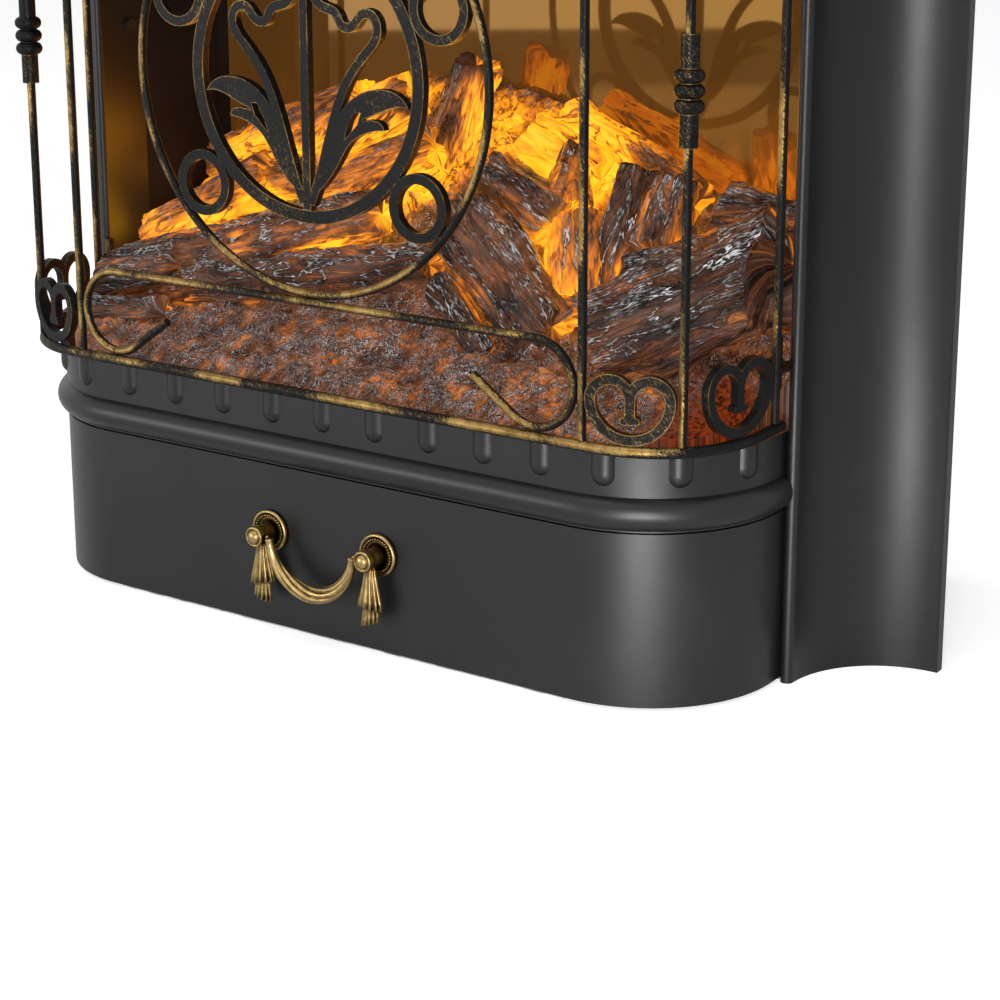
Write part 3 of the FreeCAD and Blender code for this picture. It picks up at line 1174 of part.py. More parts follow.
def heater():
    low, high = "shelf_top", "shelf_top + blower_height"
    outside = box("blower_outside", ("-blower_half", "blower_front", low),
                  ("blower_half", "blower_back", high))
    inside = box("blower_inside", ("-(blower_half - sheet)", "blower_front - sheet", "(%s) + sheet" % low),
                 ("blower_half - sheet", "blower_back - sheet", "(%s) - sheet" % high))
    intake = box("blower_intake", ("-(blower_half - 2 * wheel_gap)", "blower_back - 2 * sheet",
                                   "wheel_z - wheel_radius / 2"),
                 ("blower_half - 2 * wheel_gap", "blower_back + sheet", "wheel_z + wheel_radius / 2"))
    bores = rod("blower_bores", "spindle_radius + pivot_fit", "2 * blower_half + 2 * sheet",
                ("-(blower_half + sheet)", "wheel_y", "wheel_z"), "X")
    part("blower_housing", cut("blower_shell", outside, inside, intake, bores))

    half = "(blower_half - sheet - wheel_gap)"
    shaft = rod("wheel_shaft", "spindle_radius", "2 * blower_half + sheet + blower_motor_length / 2",
                ("-(blower_half + blower_motor_length / 2)", "wheel_y", "wheel_z"), "X")
    discs = [
        rod("wheel_disc_" + end, "wheel_radius", "sheet", (left, "wheel_y", "wheel_z"), "X")
        for end, left in (("left", "-" + half), ("middle", "-sheet / 2"), ("right", half + " - sheet"))
    ]
    blades = []
    count = int(mm("wheel_blades"))
    for step in range(count):
        angle = 360 / count * step
        blade = box("blade_%d" % step, ("0", "0", "0"), ("2 * " + half, "sheet", "blade_depth"))
        root = "(wheel_radius - blade_depth)"
        put(blade, ("-" + half, "wheel_y - %s * sin(%r)" % (root, angle),
                    "wheel_z + %s * cos(%r)" % (root, angle)), Rotation(Vector(1, 0, 0), angle))
        blades.append(blade)
    part("blower_wheel", fuse("wheel", shaft, *discs, *blades))

    motor = rod("blower_motor_body", "blower_motor_radius", "blower_motor_length",
                ("-(blower_half + blower_motor_length)", "wheel_y", "wheel_z"), "X")
    socket = rod("blower_motor_socket", "spindle_radius + pivot_fit", "blower_motor_length / 2 + fit_gap",
                 ("-(blower_half + blower_motor_length / 2 + fit_gap)", "wheel_y", "wheel_z"), "X")
    part("blower_motor", cut("blower_motor_shell", motor, socket))

    block = box("element_block", ("-(blower_half - sheet)", "blower_front", "shelf_top + sheet"),
                ("blower_half - sheet", "blower_front + element_depth", "shelf_top + blower_height - sheet"))
    gaps = []
    fins = int(mm("element_fins"))
    for step in range(fins):
        share = (step + 0.5) / fins * 2 - 1
        middle = "%r * (blower_half - sheet)" % share
        gap = "(blower_half / element_fins - sheet)"
        gaps.append(box("element_gap_%d" % step,
                        ("%s - %s" % (middle, gap), "blower_front - sheet", "shelf_top + 3 * sheet"),
                        ("%s + %s" % (middle, gap), "blower_front + element_depth + sheet",
                         "shelf_top + blower_height - 3 * sheet")))
    part("heating_element", cut("element", block, *gaps))
    part("thermal_cutout", rod("cutout_body", "cutout_radius", "cutout_height",
                               ("blower_half / 2", "wheel_y", "shelf_top + blower_height")))


# Controls and electrics

def button_places():
    return (("flame", 0), ("heat", 1), ("timer", 2))


def controls():
    back = "control_y + sheet"
    sheet = box("control_sheet", ("-control_width / 2", "control_y", "control_low"),
                ("control_width / 2", back, "hearth_z"))
    flange = box("control_flange", ("-control_width / 2", "control_y", "hearth_z - sheet"),
                 ("control_width / 2", "control_y + rail_leg", "hearth_z"))
    frame_low_x, frame_high_x = ["rocker_x %s (rocker_width / 2 + bezel)" % sign for sign in "-+"]
    frame_low_z, frame_high_z = ["button_z %s (rocker_height / 2 + bezel)" % sign for sign in "-+"]
    window = box("rocker_window", (frame_low_x, "control_y - sheet", frame_low_z),
                 (frame_high_x, "control_y + 2 * sheet", frame_high_z))
    holes = [
        rod("button_hole_" + name, "button_radius + fit_gap", "3 * sheet",
            ("%d * button_pitch" % step, "control_y - sheet", "button_z"), "Y")
        for name, step in button_places()
    ]
    part("control_panel", cut("control_plate", fuse("control_plain", sheet, flange), window, *holes))

    frame = box("rocker_frame_body", (frame_low_x, "control_y - sheet", frame_low_z),
                (frame_high_x, "board_y", frame_high_z))
    room = box("rocker_room", ("rocker_x - rocker_width / 2 - fit_gap", "control_y - 2 * sheet",
                               "button_z - rocker_height / 2 - bezel / 2"),
               ("rocker_x + rocker_width / 2 + fit_gap", "rocker_y + 2 * rocker_back",
                "button_z + rocker_height / 2 + bezel / 2"))
    bore = rod("rocker_bore", "pivot_radius + pivot_fit", "rocker_width + bezel",
               ("rocker_x - rocker_width / 2 - bezel / 2", "rocker_y", "button_z"), "X")
    part("rocker_frame", cut("rocker_case", frame, room, bore))
    tilt = mm("rocker_tilt")
    blank = box("rocker_blank", ("0", "0", "0"),
                ("rocker_width", "rocker_front + rocker_back", "rocker_height"))
    down, ahead = "rocker_height / 2", "rocker_front"
    put(blank, ("rocker_x - rocker_width / 2",
                "rocker_y - (%s) * cos(rocker_tilt) - (%s) * sin(rocker_tilt)" % (ahead, down),
                "button_z + (%s) * sin(rocker_tilt) - (%s) * cos(rocker_tilt)" % (ahead, down)),
        Rotation(Vector(1, 0, 0), -tilt))
    pins = rod("rocker_pins", "pivot_radius", "rocker_width + bezel - fit_gap",
               ("rocker_x - rocker_width / 2 - bezel / 2 + fit_gap / 2", "rocker_y", "button_z"), "X")
    part("rocker", fuse("rocker_body", blank, pins))

    for name, step in button_places():
        across = "%d * button_pitch" % step
        cap = rod("button_cap_" + name, "button_radius", "button_proud + sheet + fit_gap",
                  (across, "control_y - button_proud", "button_z"), "Y")
        collar = rod("button_collar_" + name, "1.3 * button_radius", "sheet",
                     (across, "control_y + sheet + fit_gap", "button_z"), "Y")
        part(name + "_button", fuse("button_" + name, cap, collar))

    board = box("board_sheet", ("-0.1 * control_width", "board_y", "control_low"),
                ("control_width / 2", "board_y + plate", "hearth_z - 2 * sheet"))
    posts = [
        rod("board_post_%d" % count, "pivot_radius * 2", "board_gap",
            (across, "control_y + sheet", "control_low + bezel"), "Y")
        for count, across in enumerate(("-0.5 * button_pitch", "2.5 * button_pitch"))
    ]
    key_y = "control_y + 2 * sheet + 2 * fit_gap + button_travel"
    keys = [
        rod("board_key_" + name, "button_radius / 2", "board_y - (%s)" % key_y,
            ("%d * button_pitch" % step, key_y, "button_z"), "Y")
        for name, step in button_places()
    ]
    part("control_board", fuse("control_circuit", board, *posts, *keys))


def electrics():
    part("power_module", box("module_case", ("-module_width / 2", "module_y", "plate"),
                             ("module_width / 2", "module_y + module_depth", "plate + module_height")))
    at = ("gland_x", "case_depth + sheet", "gland_z")
    flange = rod("gland_outer", "gland_flange", "gland_flange_thick", at, "Y")
    nut = rod("gland_nut", "gland_flange", "gland_flange_thick",
              ("gland_x", "case_depth - gland_flange_thick", "gland_z"), "Y")
    neck = rod("gland_neck_rod", "gland_neck", "sheet + 2 * gland_flange_thick",
               ("gland_x", "case_depth - gland_flange_thick", "gland_z"), "Y")
    bore = rod("gland_bore_rod", "gland_bore", "3 * sheet + 4 * gland_flange_thick",
               ("gland_x", "case_depth - 2 * gland_flange_thick", "gland_z"), "Y")
    part("cable_gland", cut("gland", fuse("gland_body", flange, nut, neck), bore))


def write_parts():
    """Check every object and every sub-part, then write one file for each sub-part."""
    doc.recompute()
    failed = [obj.Name for obj in doc.Objects if {"Invalid", "Error"} & set(obj.State)]
    for obj in sub_parts:
        if obj.Shape.isNull() or not obj.Shape.isValid() or not obj.Shape.Solids:
            failed.append(obj.Label)
    if failed:
        raise RuntimeError("failed: " + ", ".join(failed))
    os.makedirs("parts", exist_ok=True)
    for obj in sub_parts:
        obj.Shape.exportStep("parts/%s.step" % obj.Label)
    print("%d sub-parts" % len(sub_parts))


surround()
casing()
base_fascia()
hearth()
drawer()
handle()
grille_frame()
hanger_tabs()
grille_rings()
leaf_work()
hearts()
log_bed()
flame_unit()
hood()
heater()
controls()
electrics()
write_parts()
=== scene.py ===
"""Looks of the electric fireplace insert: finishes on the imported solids, and the cast log bed and the drawer
handle modelled in full."""

import json
import math

import bmesh
import bpy
from mathutils import Matrix, Vector, noise


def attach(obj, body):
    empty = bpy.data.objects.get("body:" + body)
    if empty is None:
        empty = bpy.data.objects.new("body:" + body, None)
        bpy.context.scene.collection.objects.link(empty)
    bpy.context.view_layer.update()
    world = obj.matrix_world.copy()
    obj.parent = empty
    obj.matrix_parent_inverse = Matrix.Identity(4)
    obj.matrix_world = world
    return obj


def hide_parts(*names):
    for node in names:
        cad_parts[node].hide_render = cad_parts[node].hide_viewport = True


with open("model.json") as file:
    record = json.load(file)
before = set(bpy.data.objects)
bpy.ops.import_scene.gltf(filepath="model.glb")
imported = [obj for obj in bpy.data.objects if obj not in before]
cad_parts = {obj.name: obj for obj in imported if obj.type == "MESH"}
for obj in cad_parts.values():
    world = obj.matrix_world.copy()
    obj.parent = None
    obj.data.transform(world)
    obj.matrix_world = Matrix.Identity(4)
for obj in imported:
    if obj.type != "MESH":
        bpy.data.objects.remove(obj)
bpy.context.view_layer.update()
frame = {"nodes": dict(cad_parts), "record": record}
MM = 0.001
TURN = 2 * math.pi


# Node building

class Graph:
    """Adds nodes to the tree of a material, a group or the world, and links them."""

    def __init__(self, tree):
        self.tree = tree

    def node(self, kind, **settings):
        new = self.tree.nodes.new(kind)
        for key, value in settings.items():
            setattr(new, key, value)
        return new

    def feed(self, socket, value):
        if isinstance(value, bpy.types.NodeSocket):
            self.tree.links.new(value, socket)
        else:
            socket.default_value = value

    def math(self, operation, *values, clamp=False):
        new = self.node("ShaderNodeMath", operation=operation, use_clamp=clamp)
        for socket, value in zip(new.inputs, values):
            self.feed(socket, value)
        return new.outputs[0]

    def spread(self, value, low, high):
        """The value from 0 at low to 1 at high, with soft ends."""
        new = self.node("ShaderNodeMapRange", interpolation_type="SMOOTHSTEP")
        self.feed(new.inputs["Value"], value)
        self.feed(new.inputs["From Min"], low)
        self.feed(new.inputs["From Max"], high)
        return new.outputs["Result"]

    def noise(self, vector, scale, detail=3, roughness=0.55, distortion=0.0):
        new = self.node("ShaderNodeTexNoise")
        self.feed(new.inputs["Vector"], vector)
        self.feed(new.inputs["Scale"], scale)
        self.feed(new.inputs["Detail"], detail)
        self.feed(new.inputs["Roughness"], roughness)
        self.feed(new.inputs["Distortion"], distortion)
        return new.outputs["Fac"]

    def vary(self, value, noise, amount):
        """The value raised and lowered by a noise about its middle."""
        return self.math("ADD", value, self.math("MULTIPLY", self.math("SUBTRACT", noise, 0.5), amount))

    def vein(self, noise, width):
        """A line along the middle level of a noise: 1 in its centre, 0 at its edge."""
        return self.spread(self.math("ABSOLUTE", self.math("SUBTRACT", noise, 0.5)), width, 0.0)

    def background_rays(self):
        """Marks of the rays that show the background: straight or through glass, and off a gloss."""
        seen = self.node("ShaderNodeLightPath").outputs
        direct = self.math("MAXIMUM", seen["Is Camera Ray"], seen["Is Transmission Ray"])
        return direct, seen["Is Glossy Ray"]

    def mix(self, factor, first, second):
        new = self.node("ShaderNodeMix", data_type="RGBA")
        self.feed(new.inputs[0], factor)
        self.feed(new.inputs[6], first)
        self.feed(new.inputs[7], second)
        return new.outputs[2]

    def ramp(self, value, *stops):
        new = self.node("ShaderNodeValToRGB")
        elements = new.color_ramp.elements
        while len(elements) < len(stops):
            elements.new(0.5)
        for element, (place, colour) in zip(elements, stops):
            element.position = place
            element.color = (*colour, 1)
        self.feed(new.inputs[0], value)
        return new.outputs[0]

    def stretch(self, vector, scale, turn=(0, 0, 0)):
        """Coordinates turned and then scaled, for streaks along one direction."""
        turned = self.node("ShaderNodeMapping")
        self.feed(turned.inputs["Vector"], vector)
        turned.inputs["Rotation"].default_value = turn
        new = self.node("ShaderNodeMapping")
        self.feed(new.inputs["Vector"], turned.outputs[0])
        new.inputs["Scale"].default_value = scale
        return new.outputs[0]

    def bump(self, height, strength, distance):
        new = self.node("ShaderNodeBump")
        self.feed(new.inputs["Height"], height)
        new.inputs["Strength"].default_value = strength
        new.inputs["Distance"].default_value = distance
        return new.outputs[0]

    def place(self):
        return self.node("ShaderNodeTexCoord").outputs["Object"]

    def attribute(self, name):
        return self.node("ShaderNodeAttribute", attribute_name=name).outputs["Fac"]

    def effect(self, group, **values):
        new = self.node("ShaderNodeGroup", node_tree=group)
        for key, value in values.items():
            self.feed(new.inputs[key], value)
        return new


def new_group(name, inputs, outputs):
    """A shader node group with number sockets. Gives its graph and the two ends inside it."""
    tree = bpy.data.node_groups.new(name, "ShaderNodeTree")
    for label in inputs:
        tree.interface.new_socket(label, in_out="INPUT", socket_type="NodeSocketFloat")
    for label in outputs:
        tree.interface.new_socket(label, in_out="OUTPUT", socket_type="NodeSocketFloat")
    graph = Graph(tree)
    return graph, graph.node("NodeGroupInput").outputs, graph.node("NodeGroupOutput").inputs


def new_material(name, **plain):
    """A material whose Principled shader has its plain sockets set. Gives material, graph and shader."""
    made = bpy.data.materials.new(name)
    made.use_nodes = True
    graph = Graph(made.node_tree)
    shader = made.node_tree.nodes["Principled BSDF"]
    for key, value in plain.items():
        shader.inputs[key.replace("_", " ")].default_value = value
    return made, graph, shader


def surface_grain_group():
    """Fine grain for a bump, and a broad mottle for colour and gloss."""
    graph, given, put = new_group("surface_grain", ("Grain Scale", "Mottle Scale"), ("Grain", "Mottle"))
    place = graph.place()
    graph.feed(put["Grain"], graph.noise(place, given["Grain Scale"], 2, 0.5))
    graph.feed(put["Mottle"], graph.noise(place, given["Mottle Scale"], 4, 0.6))
    return graph.tree


def gold_brush_group():
    """Where a nearly dry brush of gold has caught: near faces and sharp edges, in patches and streaks."""
    graph, given, put = new_group("gold_brush", ("Face", "Edge", "Cover"), ("Mask", "Stroke"))
    place = graph.place()
    shape = graph.node("ShaderNodeNewGeometry")
    rounded = graph.node("ShaderNodeBevel", samples=4)
    rounded.inputs["Radius"].default_value = 0.9 * MM
    along = graph.node("ShaderNodeVectorMath", operation="DOT_PRODUCT")
    graph.feed(along.inputs[0], rounded.outputs[0])
    graph.feed(along.inputs[1], shape.outputs["Normal"])
    edge = graph.spread(along.outputs["Value"], 0.99, 0.8)
    towards = graph.node("ShaderNodeVectorMath", operation="DOT_PRODUCT")
    graph.feed(towards.inputs[0], shape.outputs["Normal"])
    towards.inputs[1].default_value = (-0.35, -0.85, 0.4)
    face = graph.spread(towards.outputs["Value"], 0.15, 0.95)
    patch = graph.spread(graph.noise(place, 21, 2, 0.5), 0.40, 0.62)
    streak = graph.noise(graph.stretch(place, (2600, 1000, 300), (0, 0.7, 0)), 1, 2, 0.6)
    speck = graph.noise(place, 1300, 2, 0.6)
    near = graph.math("MULTIPLY", face, given["Face"])
    near = graph.math("MULTIPLY", near, graph.math("ADD", patch, 0.75))
    sharp = graph.math("MULTIPLY", edge, given["Edge"])
    sharp = graph.math("MULTIPLY", sharp, graph.math("ADD", patch, 0.45))
    level = graph.math("ADD", near, sharp)
    level = graph.vary(level, patch, 0.22)
    level = graph.vary(level, streak, 1.7)
    level = graph.vary(level, speck, 0.8)
    level = graph.math("ADD", level, given["Cover"])
    graph.feed(put["Mask"], graph.spread(level, 0.30, 0.75))
    graph.feed(put["Stroke"], graph.math("ADD", streak, speck))
    return graph.tree


SURFACE_GRAIN = surface_grain_group()
GOLD_BRUSH = gold_brush_group()


# Finishes

def coated(name, dark, light, gloss, grain_scale, grain_depth, mottle_scale=30, **plain):
    """Paint, plastic or plated metal: a mottle between two colours and two roughnesses, and a fine grain."""
    made, graph, shader = new_material(name, **plain)
    grain = graph.effect(SURFACE_GRAIN, **{"Grain Scale": grain_scale, "Mottle Scale": mottle_scale})
    mottle = graph.spread(grain.outputs["Mottle"], 0.3, 0.7)
    graph.feed(shader.inputs["Base Color"], graph.mix(mottle, (*dark, 1), (*light, 1)))
    rough = graph.math("ADD", gloss[0], graph.math("MULTIPLY", mottle, gloss[1] - gloss[0]))
    graph.feed(shader.inputs["Roughness"], rough)
    graph.feed(shader.inputs["Normal"], graph.bump(grain.outputs["Grain"], 0.5, grain_depth * MM))
    return made


def galvanised_sheet():
    """Zinc-coated sheet with its pattern of crystals."""
    made, graph, shader = new_material("galvanised_sheet", Metallic=1.0)
    place = graph.place()
    crystal = graph.node("ShaderNodeTexVoronoi")
    graph.feed(crystal.inputs["Vector"], place)
    crystal.inputs["Scale"].default_value = 130
    shade = graph.node("ShaderNodeSeparateColor")
    graph.feed(shade.inputs[0], crystal.outputs["Color"])
    tone = graph.math("ADD", graph.math("MULTIPLY", shade.outputs[0], 0.6), graph.noise(place, 60, 4))
    colour = graph.ramp(tone, (0.35, (0.30, 0.31, 0.32)), (1.0, (0.52, 0.53, 0.54)))
    graph.feed(shader.inputs["Base Color"], colour)
    graph.feed(shader.inputs["Roughness"], graph.spread(tone, -0.6, 2.2))
    graph.feed(shader.inputs["Normal"], graph.bump(graph.noise(place, 900, 2), 0.25, 0.05 * MM))
    return made


def gilt(name, face, edge, cover):
    """Black paint with gold brushed over its high places."""
    made, graph, shader = new_material(name, Specular_IOR_Level=0.10)
    brush = graph.effect(GOLD_BRUSH, Face=face, Edge=edge, Cover=cover)
    place = graph.place()
    mask = brush.outputs["Mask"]
    tint = graph.noise(place, 220, 3)
    gold = graph.ramp(tint, (0.3, (0.13, 0.076, 0.021)), (0.7, (0.34, 0.22, 0.075)))
    black = graph.ramp(tint, (0.3, (0.003, 0.003, 0.003)), (0.7, (0.007, 0.007, 0.007)))
    graph.feed(shader.inputs["Base Color"], graph.mix(mask, black, gold))
    graph.feed(shader.inputs["Metallic"], graph.math("MULTIPLY", mask, 0.85))
    graph.feed(shader.inputs["Roughness"], graph.math("ADD", 0.34, graph.math("MULTIPLY", tint, 0.18)))
    graph.feed(shader.inputs["Normal"], graph.bump(brush.outputs["Stroke"], 0.35, 0.12 * MM))
    return made


def antique_brass():
    """Cast brass, rubbed bright on its high places and dark in its hollows."""
    made, graph, shader = new_material("antique_brass", Metallic=1.0)
    place = graph.place()
    hollow = graph.node("ShaderNodeAmbientOcclusion", samples=8)
    hollow.inputs["Distance"].default_value = 5 * MM
    worn = graph.math("MULTIPLY", hollow.outputs["AO"], 0.75)
    worn = graph.math("ADD", worn, graph.math("MULTIPLY", graph.noise(place, 320, 3), 0.35))
    colour = graph.ramp(worn, (0.42, (0.010, 0.006, 0.0025)), (0.72, (0.10, 0.062, 0.020)),
                        (0.96, (0.42, 0.295, 0.12)))
    graph.feed(shader.inputs["Base Color"], colour)
    polish = graph.math("MULTIPLY", graph.noise(place, 500), 0.25)
    graph.feed(shader.inputs["Roughness"], graph.math("ADD", 0.2, polish))
    graph.feed(shader.inputs["Normal"], graph.bump(graph.noise(place, 1100, 3), 0.3, 0.12 * MM))
    return made


FLAME_COLOURS = ((0.08, (0, 0, 0)), (0.24, (0.032, 0.008, 0.0016)), (0.40, (0.10, 0.030, 0.007)),
                 (0.57, (0.46, 0.115, 0.006)), (0.74, (0.90, 0.29, 0.006)), (0.95, (1.0, 0.50, 0.014)))
CHAR_COLOURS = ((0.34, (0.008, 0.006, 0.005)), (0.5, (0.036, 0.024, 0.020)), (0.66, (0.10, 0.066, 0.052)))
# White of the dry-brushed ash; on the crests it also stands in for glints, a painted highlight.
ASH_AND_GLINT_WHITE = (0.70, 0.70, 0.72)
GLOW_SEEN, GLOW_MIRRORED = 1.25, 7.5


def cast_resin():
    """Translucent resin lit from below, painted with char and dry-brushed with ash along its wrinkles; that
    white on the crests also stands in for glints, a painted highlight.
    """
    made, graph, shader = new_material("log_resin", Specular_IOR_Level=0.2)
    grain = graph.node("ShaderNodeAttribute", attribute_name="grain").outputs["Vector"]
    glow, ash_and_glints, red = [graph.attribute(label) for label in ("glow", "ash_and_glints", "red")]
    coarse = graph.noise(grain, 0.10, 4, 0.6)
    fine = graph.noise(grain, 0.5, 4, 0.65)
    grit = graph.noise(grain, 1.6, 2, 0.6)
    crest = graph.vein(graph.noise(grain, 0.15, 3, 0.55, 0.5), 0.085)
    crack = graph.vein(graph.noise(grain, 0.085, 4, 0.6, 0.9), 0.035)

    level = graph.vary(graph.vary(glow, coarse, 0.8), fine, 0.5)
    level = graph.math("SUBTRACT", level, graph.math("MULTIPLY", crest, 0.14))
    opened = graph.math("MULTIPLY", crack, graph.math("SUBTRACT", 0.34, graph.math("MULTIPLY", glow, 0.8)))
    level = graph.math("ADD", level, opened, clamp=True)
    flame = graph.ramp(level, *FLAME_COLOURS)
    speckle = graph.spread(fine, 0.42, 0.62)
    flame = graph.mix(red, flame, graph.mix(speckle, (0.15, 0.020, 0.002, 1), (0.010, 0.0015, 0, 1)))

    patch = graph.spread(graph.noise(grain, 0.045, 3), 0.40, 0.64)
    # Ash brushed along the crests, which also stands in for their glints: a painted highlight.
    brushed = graph.math("MULTIPLY", graph.spread(crest, 0.80, 0.99), graph.spread(ash_and_glints, 0.15, 0.6))
    brushed = graph.math("MULTIPLY", brushed, graph.spread(grit, 0.42, 0.56))
    # A grey dusting of ash that also stands in for a whitish sheen: a painted highlight.
    dust_and_sheen = graph.spread(graph.vary(ash_and_glints, grit, 1.3), 0.62, 1.15)
    brushed = graph.math("MULTIPLY", brushed, graph.math("ADD", 0.25, patch))
    white = graph.math("MAXIMUM", brushed, dust_and_sheen)
    white = graph.math("MULTIPLY", white, graph.math("SUBTRACT", 1.0, red), clamp=True)
    char = graph.mix(red, graph.ramp(coarse, *CHAR_COLOURS), (0.02, 0.003, 0.001, 1))
    graph.feed(shader.inputs["Base Color"], graph.mix(white, char, (*ASH_AND_GLINT_WHITE, 1)))
    graph.feed(shader.inputs["Emission Color"], graph.mix(white, flame, (0.02, 0.015, 0.01, 1)))
    graph.feed(shader.inputs["Roughness"], graph.math("ADD", 0.28, graph.math("MULTIPLY", fine, 0.3)))
    height = graph.math("ADD", graph.math("MULTIPLY", crest, 0.8), graph.math("MULTIPLY", fine, 0.9))
    height = graph.math("ADD", height, graph.math("MULTIPLY", grit, 0.35))
    height = graph.math("SUBTRACT", height, graph.math("MULTIPLY", crack, 0.8))
    graph.feed(shader.inputs["Normal"], graph.bump(height, 1.0, 1.6 * MM))
    # The glow is brighter than white, which only its reflections can show.
    mirrored = graph.node("ShaderNodeLightPath").outputs["Is Glossy Ray"]
    strength = graph.math("ADD", GLOW_SEEN, graph.math("MULTIPLY", mirrored, GLOW_MIRRORED))
    graph.feed(shader.inputs["Emission Strength"], strength)
    return made


def amber_screen():
    """Amber sheet lit from behind, with the soft shapes of the flames low on it."""
    made, graph, shader = new_material("amber_screen", Roughness=0.03, Emission_Strength=1.0)
    place = graph.place()
    spot = graph.node("ShaderNodeSeparateXYZ")
    graph.feed(spot.inputs[0], place)
    haze = graph.noise(graph.stretch(place, (9, 1, 2.5)), 1, 4)
    lick = graph.noise(graph.stretch(place, (38, 1, 15)), 1, 3, 0.5, 0.8)
    lower = graph.spread(spot.outputs["Z"], 0.262, 0.175)
    right = graph.spread(spot.outputs["X"], 0.03, 0.12)
    reach = graph.math("MULTIPLY", lower, graph.math("ADD", 0.35, graph.math("MULTIPLY", right, 0.65)))
    flame = graph.math("MULTIPLY", graph.math("MULTIPLY", graph.spread(lick, 0.42, 0.62), reach), 0.4)
    amber = graph.ramp(haze, (0.3, (0.040, 0.016, 0.0025)), (0.7, (0.068, 0.027, 0.0045)))
    graph.feed(shader.inputs["Base Color"], (0.06, 0.026, 0.006, 1))
    shader.inputs["Specular Tint"].default_value = (1.0, 0.52, 0.12, 1)
    graph.feed(shader.inputs["Emission Color"], graph.mix(flame, amber, (0.62, 0.16, 0.008, 1)))
    return made


def circuit_board():
    """Green lacquer over a fine net of tracks."""
    made, graph, shader = new_material("circuit_board", Roughness=0.35)
    place = graph.place()
    tracks = graph.node("ShaderNodeTexBrick")
    graph.feed(tracks.inputs["Vector"], place)
    tracks.inputs["Scale"].default_value = 120
    tracks.inputs["Color1"].default_value = (0.012, 0.10, 0.035, 1)
    tracks.inputs["Color2"].default_value = (0.016, 0.13, 0.05, 1)
    tracks.inputs["Mortar"].default_value = (0.05, 0.22, 0.09, 1)
    graph.feed(shader.inputs["Base Color"], tracks.outputs["Color"])
    graph.feed(shader.inputs["Normal"], graph.bump(tracks.outputs["Fac"], 0.3, 0.1 * MM))
    return made


def grey(level):
    return level, level, level


CHARCOAL = coated("charcoal_coating", (0.0048, 0.0048, 0.005), (0.0062, 0.0062, 0.0064), (0.36, 0.40),
                  1400, 0.05, 22, Specular_IOR_Level=0.36)
BLACK_SHEET = coated("black_sheet", (0.011, 0.008, 0.007), (0.017, 0.012, 0.010), (0.6, 0.72),
                     1100, 0.06, Specular_IOR_Level=0.08)
ZINC = coated("zinc_screws", (0.30, 0.30, 0.29), (0.45, 0.45, 0.44), (0.3, 0.45), 1500, 0.04, Metallic=1.0)
BRIGHT = coated("bright_vanes", (0.7, 0.7, 0.72), (0.8, 0.8, 0.82), (0.15, 0.3), 900, 0.03, Metallic=1.0)
BLOWER = coated("blower_plastic", (0.03, 0.03, 0.031), (0.04, 0.04, 0.042), (0.45, 0.55), 1600, 0.05)
FINS = coated("heater_fins", grey(0.42), grey(0.58), (0.3, 0.5), 1200, 0.05, Metallic=1.0)
MOTOR = coated("motor_steel", (0.36, 0.36, 0.37), (0.46, 0.46, 0.47), (0.3, 0.4), 1300, 0.03, Metallic=1.0)
PLASTIC = coated("black_plastic", grey(0.018), grey(0.025), (0.38, 0.5), 1700, 0.06)
FINISHES = {
    "charcoal_coating": CHARCOAL,
    "black_sheet": BLACK_SHEET,
    "patinated_grille": gilt("gilt_wire", 0.46, 0.0, 0.0),
    "antique_brass": antique_brass(),
    "galvanised_sheet": galvanised_sheet(),
    "zinc_screws": ZINC,
    "log_resin": cast_resin(),
    "amber_screen": amber_screen(),
    "bright_vanes": BRIGHT,
    "blower_plastic": BLOWER,
    "heater_fins": FINS,
    "motor_steel": MOTOR,
    "circuit_board": circuit_board(),
    "black_plastic": PLASTIC,
}
GILT_PLATE = gilt("gilt_plate", 0.0, 0.75, 0.14)
GILT_HEARTS = gilt("gilt_hearts", 0.05, 0.6, 0.06)
DARK_SCREWS = coated("dark_screws", (0.012, 0.009, 0.008), (0.02, 0.015, 0.013), (0.28, 0.36), 1500, 0.03)
# Nodes whose look differs from the finish of their slot
SPECIAL = {
    "grille_inner_ring": GILT_PLATE,
    "grille_leaf_work": GILT_PLATE,
    "grille_small_rings": GILT_PLATE,
    "grille_collars": GILT_HEARTS,
    "grille_hearts": GILT_HEARTS,
    "wing_screws": DARK_SCREWS,
}


def dress_nodes():
    for entry in frame["record"]["subparts"]:
        node = frame["nodes"][entry["node"]]
        finish = SPECIAL.get(entry["node"], FINISHES[entry["material_slot"]])
        for slot in node.material_slots:
            slot.material = finish
        if not node.material_slots:
            node.data.materials.append(finish)


def add_piece(name, bm, slot, body, *replaced):
    """Makes the object from the bmesh, shades it smooth and attaches it to its body."""
    mesh = bpy.data.meshes.new(name)
    bm.to_mesh(mesh)
    bm.free()
    mesh.shade_smooth()
    piece = bpy.data.objects.new(name, mesh)
    bpy.context.collection.objects.link(piece)
    mesh.materials.append(FINISHES[slot])
    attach(piece, body)
    if replaced:
        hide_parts(*replaced)
    return piece


def tube(bm, around, count):
    """A closed tube of rings of unit radius, all still in one place. Gives the vertices ring by ring."""
    ring = bmesh.ops.create_circle(bm, segments=around, radius=1, cap_ends=True)["verts"]
    edges = list({edge for vert in ring for edge in vert.link_edges if edge.other_vert(vert) in ring})
    rings = [ring]
    for _ in range(count - 1):
        pulled = bmesh.ops.extrude_edge_only(bm, edges=edges)["geom"]
        ring = [item for item in pulled if isinstance(item, bmesh.types.BMVert)]
        edges = [item for item in pulled if isinstance(item, bmesh.types.BMEdge)
                 and item.verts[0] in ring and item.verts[1] in ring]
        rings.append(ring)
    bmesh.ops.contextual_create(bm, geom=edges)
    return rings


# Log bed. Lengths in this section are in millimetres until a mesh is finished.

